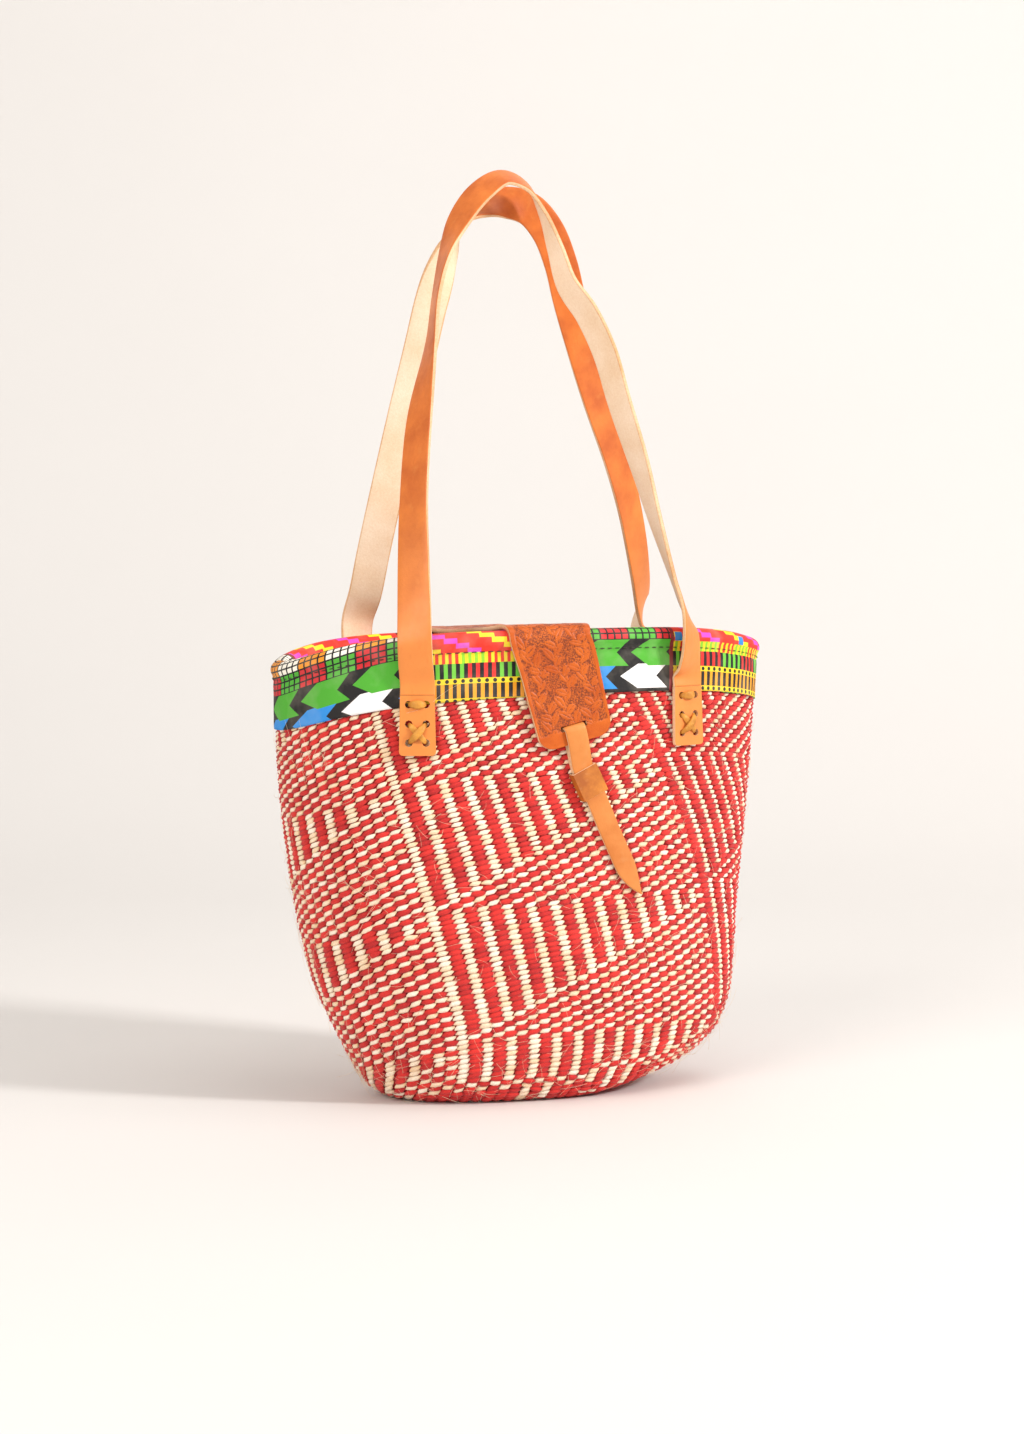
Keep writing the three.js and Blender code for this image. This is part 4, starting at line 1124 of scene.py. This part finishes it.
def make_cross(name, place, node):
    """One thong crossed over the lower four holes."""
    s, mid, low = HOLE_SPACING / 2, HOLE_ROWS[1], HOLE_ROWS[2]
    out = STRAP_SEAT + STRAP_THICKNESS
    inside = -LINING_IN - 1.6
    # Across, up, outward, width, thickness, and the side of the strap that the spot faces
    spots = [
        (-s, low, inside - 0.3, 2.6, 2.4, 0),
        (-s + 0.4, low + 0.4, 0.0, 2.8, 2.2, 0),
        (-s + 1.3, low + 1.3, out + 0.2, 3.4, 2.2, 1),
        (-s * 0.4, low + (mid - low) * 0.3, out + 2.7, 4.7, 2.2, 1),
        (s * 0.3, mid - (mid - low) * 0.35, out + 2.8, 4.9, 2.2, 1),
        (s - 1.3, mid - 1.3, out + 0.2, 3.4, 2.2, 1),
        (s - 0.4, mid - 0.4, 0.0, 2.8, 2.2, 0),
        (s - 0.3, mid, inside + 0.4, 2.8, 2.4, -1),
        (s * 0.4, mid, inside - 0.7, 3.0, 1.9, -1),
        (-s * 0.4, mid, inside - 0.7, 3.0, 1.9, -1),
        (-s + 0.3, mid, inside + 0.4, 2.8, 2.4, -1),
        (-s + 0.4, mid - 0.4, 0.0, 2.8, 2.2, 0),
        (-s + 1.3, mid - 1.3, out + 0.1, 3.4, 2.0, 1),
        (-s * 0.35, mid - (mid - low) * 0.32, out + 1.0, 4.4, 1.7, 1),
        (s * 0.35, low + (mid - low) * 0.32, out + 1.0, 4.4, 1.7, 1),
        (s - 1.3, low + 1.3, out + 0.1, 3.4, 2.0, 1),
        (s - 0.4, low + 0.4, 0.0, 2.8, 2.2, 0),
        (s, low, inside - 0.3, 2.6, 2.4, 0),
    ]
    ways = []
    for x, _, _, _, _, side in spots:
        tilt = (-1.0 if x < 0 else 1.0) * place["side"]
        ways.append(side * place["normal"] + (0 if side else 1) * tilt + 0.15 * tilt)
    points = [in_frame(place, *spot[:3]) for spot in spots]
    thong_tube(name, points, ways, [spot[3:5] for spot in spots], node, False)


# The flap

FLAP_THICKNESS = 3.0
FLAP_END_DROP = 74.5
FLAP_LEAN = 13.4
FLAP_FRONT_X = -9.5
FLAP_BACK_X = -20.0
FLAP_SAG = 2.0
FLAP_DROP_SHARES = (0.27, 0.54, 0.74, 0.89, 0.946, 0.983, 1)
SLIT_DROP = 65.6
FLAP_CORNER = 9.0
FLAP_BACK_WIDTH = 62.0
FLAP_RIM_WIDTH = 58.0
FLAP_END_WIDTH = 50.0
VINE_SPACING = 17
VINE_SWAY = 3.2
LEAF_STEP = 4.1


def flap_x(drop):
    """Where the leaning flap's middle is on the front, at a drop below the rim."""
    return FLAP_FRONT_X + drop * math.tan(math.radians(FLAP_LEAN))


def over_roll(x, front, degrees):
    """Middle and face way of the flap where it lies on the rim's roll, turned up by degrees."""
    place = wall_frame(x, 0.0, front)
    radius = ROLL_RADIUS + 0.6 + FLAP_THICKNESS / 2
    turn = math.radians(degrees)
    drop, out = ROLL_RADIUS - radius * math.sin(turn), -ROLL_SET_IN + radius * math.cos(turn)
    face = place["normal"] * math.cos(turn) + UP * math.sin(turn)
    return place["origin"] + place["normal"] * out - UP * drop, face


def flap_marks():
    """Middles and face ways down the flap, and the number of the mark on top of the front rim."""
    def hanging(drop):
        place = wall_frame(flap_x(drop), drop, True)
        return in_frame(place, 0, 0, 5.0), place["normal"]

    def on_back(above):
        spot = in_frame(TAB, 0, TAB_HEIGHT / 2 + above, STRAP_SEAT + FLAP_THICKNESS / 2)
        return spot, TAB["normal"]

    back_top = over_roll(FLAP_BACK_X, False, 90)
    front_top = over_roll(FLAP_FRONT_X, True, 90)
    marks = [on_back(BEND_GAP), on_back(2.5)]
    marks += [over_roll(FLAP_BACK_X, False, 5), over_roll(FLAP_BACK_X, False, 50), back_top]
    for share in (0.25, 0.5, 0.75):
        sag = UP * FLAP_SAG * math.sin(math.pi * share)
        marks.append((back_top[0] * (1 - share) + front_top[0] * share - sag, UP))
    rim_mark = len(marks)
    marks += [front_top, over_roll(FLAP_FRONT_X, True, 45), over_roll(FLAP_FRONT_X, True, 5)]
    marks += [hanging(share * FLAP_END_DROP) for share in FLAP_DROP_SHARES]
    return *(np.array(values) for values in zip(*marks)), rim_mark


def leaf_cut(x, y):
    """How deep the stamped pattern is cut, 0 to 1, x across and y along the flap in millimetres."""
    margin = 27.0 - np.abs(x)
    raised = np.zeros_like(x)
    line = np.zeros_like(x)
    for vine in range(-1, 2):
        middle = VINE_SPACING * vine
        wave = VINE_SWAY * np.sin(y * 0.2 + 2 * vine)
        raised = np.maximum(raised, 1 - smoothstep(np.abs(x - middle - wave), 0.4, 1.1))
        for k in range(-4, 66):
            side = 1 if (k + vine) % 2 else -1
            centre_y = k * LEAF_STEP + 1.3 * vine
            base_x = middle + VINE_SWAY * math.sin(centre_y * 0.2 + 2 * vine)
            angle = math.radians(90 - side * (44 + 16 * math.sin(k * 1.7 + vine)))
            length = 10.4 + 1.6 * math.sin(k * 2.3)
            dx, dy = x - base_x, y - centre_y
            along = dx * math.cos(angle) + dy * math.sin(angle)
            off = dy * math.cos(angle) - dx * math.sin(angle) - 0.02 * side * along * (length - along)
            share = np.clip(along / length, 0, 1)
            half = 3.3 * np.sin(np.pi * share) ** 0.7 * (1 - 0.3 * share)
            inside = (np.abs(y - centre_y) < 12) & (along > 0) & (along < length)
            leaf = np.where(inside, 1 - smoothstep(np.abs(off) - half, -0.5, 0.15), 0)
            vein = np.where(inside & (share > 0.1), 1 - smoothstep(np.abs(off), 0.05, 0.5), 0)
            edge = np.where(inside, 1 - smoothstep(np.abs(np.abs(off) - half), 0.15, 0.65), 0)
            line = np.maximum(np.where(leaf > 0.5, vein, line), edge)
            raised = np.maximum(raised, leaf)
    frame_line = 1 - smoothstep(np.abs(margin - 2.6), 0.2, 0.7)
    dots = 0.5 + 0.5 * np.sin(x * 4.1 + 1.5 * np.sin(y * 1.3)) * np.sin(y * 3.7 + x)
    ground = smoothstep(margin, 2.6, 3.4) * (1 - raised) * (0.55 + 0.35 * dots)
    return np.clip(np.maximum(np.maximum(ground, 0.8 * line * (margin > 3)), 0.7 * frame_line), 0, 1)


def smoothed(values, lengths, reach):
    """Values averaged along a path over a short reach, to spread out a sudden turn."""
    weights = np.exp(-0.5 * ((lengths[:, None] - lengths[None, :]) / reach) ** 2)
    return unit(weights @ values)


def make_flap():
    points, ways, rim_mark = flap_marks()
    last = len(points) - 1
    rows, columns = 440, 90
    t = np.linspace(0, 1, rows + 1)
    middle, across, normal = ribbon_axes(points, ways, t)
    # The width narrows to the rim and on to the low end, whose corners are round
    mark = t * last
    to_rim = np.minimum(mark / rim_mark, 1)
    to_end = np.maximum((mark - rim_mark) / (last - rim_mark), 0)
    narrowing = (FLAP_BACK_WIDTH - FLAP_RIM_WIDTH) * to_rim
    wide = FLAP_BACK_WIDTH - narrowing - (FLAP_RIM_WIDTH - FLAP_END_WIDTH) * to_end
    left = np.minimum(np.linalg.norm(middle - points[-1], axis=1), FLAP_CORNER)
    inset = np.where(t > 0.5, FLAP_CORNER - np.sqrt(FLAP_CORNER ** 2 - (FLAP_CORNER - left) ** 2), 0)
    half = np.maximum(wide / 2 - inset, 0.5)
    lengths = run_along(middle)
    ahead = unit(np.gradient(middle, axis=0))
    across = smoothed(across, lengths, 8.0)
    normal = unit(np.cross(across, ahead))

    bm, u, v = flat_grid(columns, rows)
    layer = bm.verts.layers.float.new("cut")
    i = np.rint(v * rows).astype(int)
    x = (2 * u - 1) * half[i]
    above_end = lengths[-1] - lengths[i]
    cut = leaf_cut(x, above_end) * smoothstep(above_end, 9.0, 10.5)
    sway = 0.35 * np.sin(lengths[i] * 0.06) * (x / 30) ** 2
    height = FLAP_THICKNESS / 2 - 0.28 * cut + sway
    spots = middle[i] + across[i] * -x[:, None] + normal[i] * height[:, None]
    for vert, point, depth in zip(bm.verts, to_scene(spots), cut):
        vert.co = point
        vert[layer] = depth
    # The slit near the lower edge, that the strip goes through
    slit = leaned(wall_frame(flap_x(SLIT_DROP), SLIT_DROP, True), FLAP_LEAN)
    local = spots - slit["origin"]
    sx, sy, out = (local @ slit[way] for way in ("side", "rise", "normal"))
    gone = (np.abs(sx) < 9.9) & (sy > -0.1) & (sy < 3.5) & (out > 0) & (v > 0.6)
    doomed = [face for face in bm.faces if all(gone[vert.index] for vert in face.verts)]
    bmesh.ops.delete(bm, geom=doomed, context="FACES")
    bmesh.ops.recalc_face_normals(bm, faces=bm.faces)
    bm.normal_update()
    test = next(iter(bm.faces))
    if test.normal.dot(Vector(normal[i[test.verts[0].index]])) < 0:
        bmesh.ops.reverse_faces(bm, faces=bm.faces)
    piece = new_piece("tooled_flap", bm, [TOOLED, EDGE], "flap", ["flap"])
    sheet = piece.modifiers.new("thickness", "SOLIDIFY")
    sheet.thickness = (FLAP_THICKNESS - 0.1) * MM
    sheet.offset = -1
    sheet.material_offset_rim = sheet.material_offset = 1


# The closing strip

KEEPER_DISTANCE = 27.0
TONGUE_LENGTH = 96.0
TONGUE_LEAN = 25.3
STRIP_TAPER = 24.0
STRIP_TIP = KEEPER_DISTANCE + TONGUE_LENGTH
# Distance down the strip from the slit, and how far it lies out from the wall
STRIP_ROUTE = [
    (46.7, 1.8), (37, 1.8), (27, 1.8), (13.5, 1.8), (3, 1.8), (0.0, 2.0), (-1.6, 3.0), (-2.0, 4.85),
    (-1.6, 6.7), (0.0, 7.8), (3, 7.95), (9, 7.6), (14, 6.6), (20, 5.2), (25.6, 4.4), (37, 4.4),
    (48.4, 4.4), (56, 3.9), (64, 3.3), (72, 2.8), (80, 2.8), (88, 2.8), (96, 2.9), (102, 3.2),
    (107, 3.3), (111, 3.2), (115, 3.1), (118, 3.0), (120.5, 2.9), (122.2, 2.8), (123, 2.8),
]


def strip_place(distance):
    """The wall frame at a distance down the strip from the slit. The strip leans more from the
    keeper's upper edge on."""
    bent = max(distance - KEEPER_DISTANCE, 0)
    straight = distance - bent
    lean, tongue = math.radians(FLAP_LEAN), math.radians(TONGUE_LEAN)
    x = flap_x(SLIT_DROP) + straight * math.sin(lean) + bent * math.sin(tongue)
    drop = SLIT_DROP + straight * math.cos(lean) + bent * math.cos(tongue)
    share = float(smoothstep(distance, KEEPER_DISTANCE - 1.4, KEEPER_DISTANCE + 1.4))
    return leaned(wall_frame(x, drop, True), FLAP_LEAN + (TONGUE_LEAN - FLAP_LEAN) * share)


def make_strip():
    """Up behind the flap, through the slit, down through the keeper and out to the tongue's point."""
    middles, faces, widths = [], [], []
    for k, (distance, outward) in enumerate(STRIP_ROUTE):
        before, after = STRIP_ROUTE[max(k - 1, 0)], STRIP_ROUTE[min(k + 1, len(STRIP_ROUTE) - 1)]
        ahead = np.array(after) - np.array(before)
        ahead = ahead / np.linalg.norm(ahead)
        place = strip_place(distance)
        left = max(1 - (STRIP_TIP - distance) / STRIP_TAPER, 0)
        middles.append(in_frame(place, 3.0 * left * left, 0, outward))
        faces.append(place["normal"] * ahead[0] + place["rise"] * ahead[1])
        widths.append([7.5 * (1 - left ** 1.6) + 0.3 * left])
    t = np.linspace(0, 1, 181)
    axes = ribbon_axes(np.array(middles), np.array(faces), t)
    width = curve_points(widths, t, False)[:, 0]
    materials = [STRIP, FLESH, EDGE]
    make_ribbon("closing_strap", axes, width, 2.1, materials, "flap", "closing_strip")


# Loose fibres that stand off the wall

def make_fibres(count):
    curve = bpy.data.curves.new("fibres", "CURVE")
    curve.dimensions = "3D"
    curve.bevel_depth = 0.1 * MM
    curve.bevel_resolution = 0
    for number in range(count):
        angle = rng.uniform(-math.pi, math.pi)
        level = rng.uniform(0.005, 0.12) if number % 4 == 0 else rng.uniform(0.01, 0.83)
        root = np.array([angle]), np.array([level])
        point, normal = bag_point(*root)[0], bag_normal(*root)[0]
        ahead = unit(np.cross(UP, normal))
        turn = rng.uniform(0, 2 * math.pi)
        way = ahead * math.cos(turn) + np.cross(normal, ahead) * math.sin(turn)
        length = rng.gamma(3.0, 3.2) + 3
        curl = rng.normal(0, 1.1)
        lift = rng.uniform(0.05, 0.5)
        spline = curve.splines.new("POLY")
        spline.points.add(5)
        side = np.cross(normal, way)
        for k, place in enumerate(spline.points):
            s = k / 5
            out = 0.9 + length * lift * s * (1.25 - s) * 0.7
            spot = point + way * length * s + side * curl * length * 0.3 * s * s + normal * out
            spot[2] = max(spot[2], 0.6)
            place.co = (*to_scene(spot), 1)
            place.radius = 1.0 - 0.5 * s
    holder = linked("fibre_curves", curve)
    bpy.context.view_layer.update()
    mesh = bpy.data.meshes.new_from_object(holder.evaluated_get(bpy.context.evaluated_depsgraph_get()))
    bpy.data.objects.remove(holder)
    mesh.materials.clear()
    finish_piece("loose_fibres", mesh, [FIBRE], "bag")


# Making the bag

make_wall()
make_weave()
make_lining()
make_band()
make_topstitch()
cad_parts["rim_cord"].data.materials.clear()
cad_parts["rim_cord"].data.materials.append(ROPE)
make_handle("front", FRONT_ROUTE, FRONT_RISE)
make_handle("back", BACK_ROUTE, BACK_RISE)
OUT = STRAP_SEAT + STRAP_THICKNESS
INSIDE = -LINING_IN - 1.1
for spot, anchor in ANCHORS.items():
    where, side = spot.split("_")
    end = f"handle_{where}_end_{side}"
    softened(f"strap_end_{spot}", end, 0.5, [GRAIN, FLESH, EDGE], anchor["normal"])
    half = HOLE_SPACING / 2
    make_bar(f"bar_lace_{spot}", anchor, -half, half, HOLE_ROWS[0], OUT, INSIDE, f"lace_{spot}_bar")
    make_cross(f"cross_lace_{spot}", anchor, f"lace_{spot}_cross")
make_flap()
softened("flap_end_on_back", "flap_back_tab", 0.5, [TOOLED, FLESH, EDGE], TAB["normal"])
for node, x0, x1 in (("flap_lace_right", -21.0, -9.5), ("flap_lace_left", 9.5, 21.0)):
    make_bar(f"{node}_thong", TAB, x0, x1, -13.0, STRAP_SEAT + FLAP_THICKNESS, INSIDE - 1.0, node)
make_strip()
along_strip = strip_place(45.0)["rise"]
softened("strip_keeper", "keeper", 0.3, [KEEPER, EDGE], along_strip, cut_faces)
make_fibres(1500)


# Floor, backdrop, light and camera

def make_backdrop():
    """A sheet of paper that lies flat, bends up and stands behind."""
    reach, bend = 3.2, 1.6
    radius = bend / (math.pi / 2)
    bm = flat_grid(2, 60)[0]
    for vert in bm.verts:
        s = (vert.co.y + 1) / 2 * 9.0
        turn = min(max((s - reach) / bend, 0), 1) * math.pi / 2
        y = -2.2 + min(s, reach) + radius * math.sin(turn)
        z = radius * (1 - math.cos(turn)) + max(s - reach - bend, 0)
        vert.co = Vector((vert.co.x * 6.0, y, z))
    f = Finish("studio paper", roughness=0.95)
    f.colour(f.mix(f.noise(f.place(), 3, 2), (0.74, 0.722, 0.708, 1), (0.72, 0.702, 0.688, 1)))
    paper = add_object("studio_paper", mesh_of("studio_paper", bm), [f.material])
    paper.data.transform(Matrix.Rotation(math.radians(-19.9), 4, "Z"))


def make_lamp(name, place, target, size, power, colour):
    lamp = bpy.data.lights.new(name, "AREA")
    lamp.shape = "SQUARE"
    lamp.size = size
    lamp.energy = power
    lamp.color = colour
    holder = linked(name, lamp)
    holder.location = place
    holder.rotation_euler = (Vector(target) - Vector(place)).to_track_quat("-Z", "Y").to_euler()


make_backdrop()
make_lamp("key", (2.05, -1.95, 1.7), (0, 0, 0.25), 0.4, 80, (1.0, 0.985, 0.96))
make_lamp("fill", (-2.2, -1.8, 1.6), (0, 0, 0.25), 1.6, 46, (1.0, 0.96, 0.91))
make_lamp("wall light", (0.5, -0.4, 2.6), (0.3, 1.8, 0.4), 1.6, 20, (1.0, 0.98, 0.95))
world = bpy.data.worlds.new("studio")
bpy.context.scene.world = world
world.use_nodes = True
background = world.node_tree.nodes["Background"].inputs
background["Color"].default_value = (1.0, 0.95, 0.9, 1)
background["Strength"].default_value = 0.56

camera = bpy.data.cameras.new("camera")
camera.lens = 96.5
camera.sensor_width = 36.0
camera_holder = linked("camera", camera)
camera_holder.location = (-0.9018, -2.4735, 0.507)
camera_holder.rotation_euler = (math.radians(90 - 5.387), 0, math.radians(-19.93))
bpy.context.scene.camera = camera_holder
bpy.context.scene.view_settings.view_transform = "Standard"
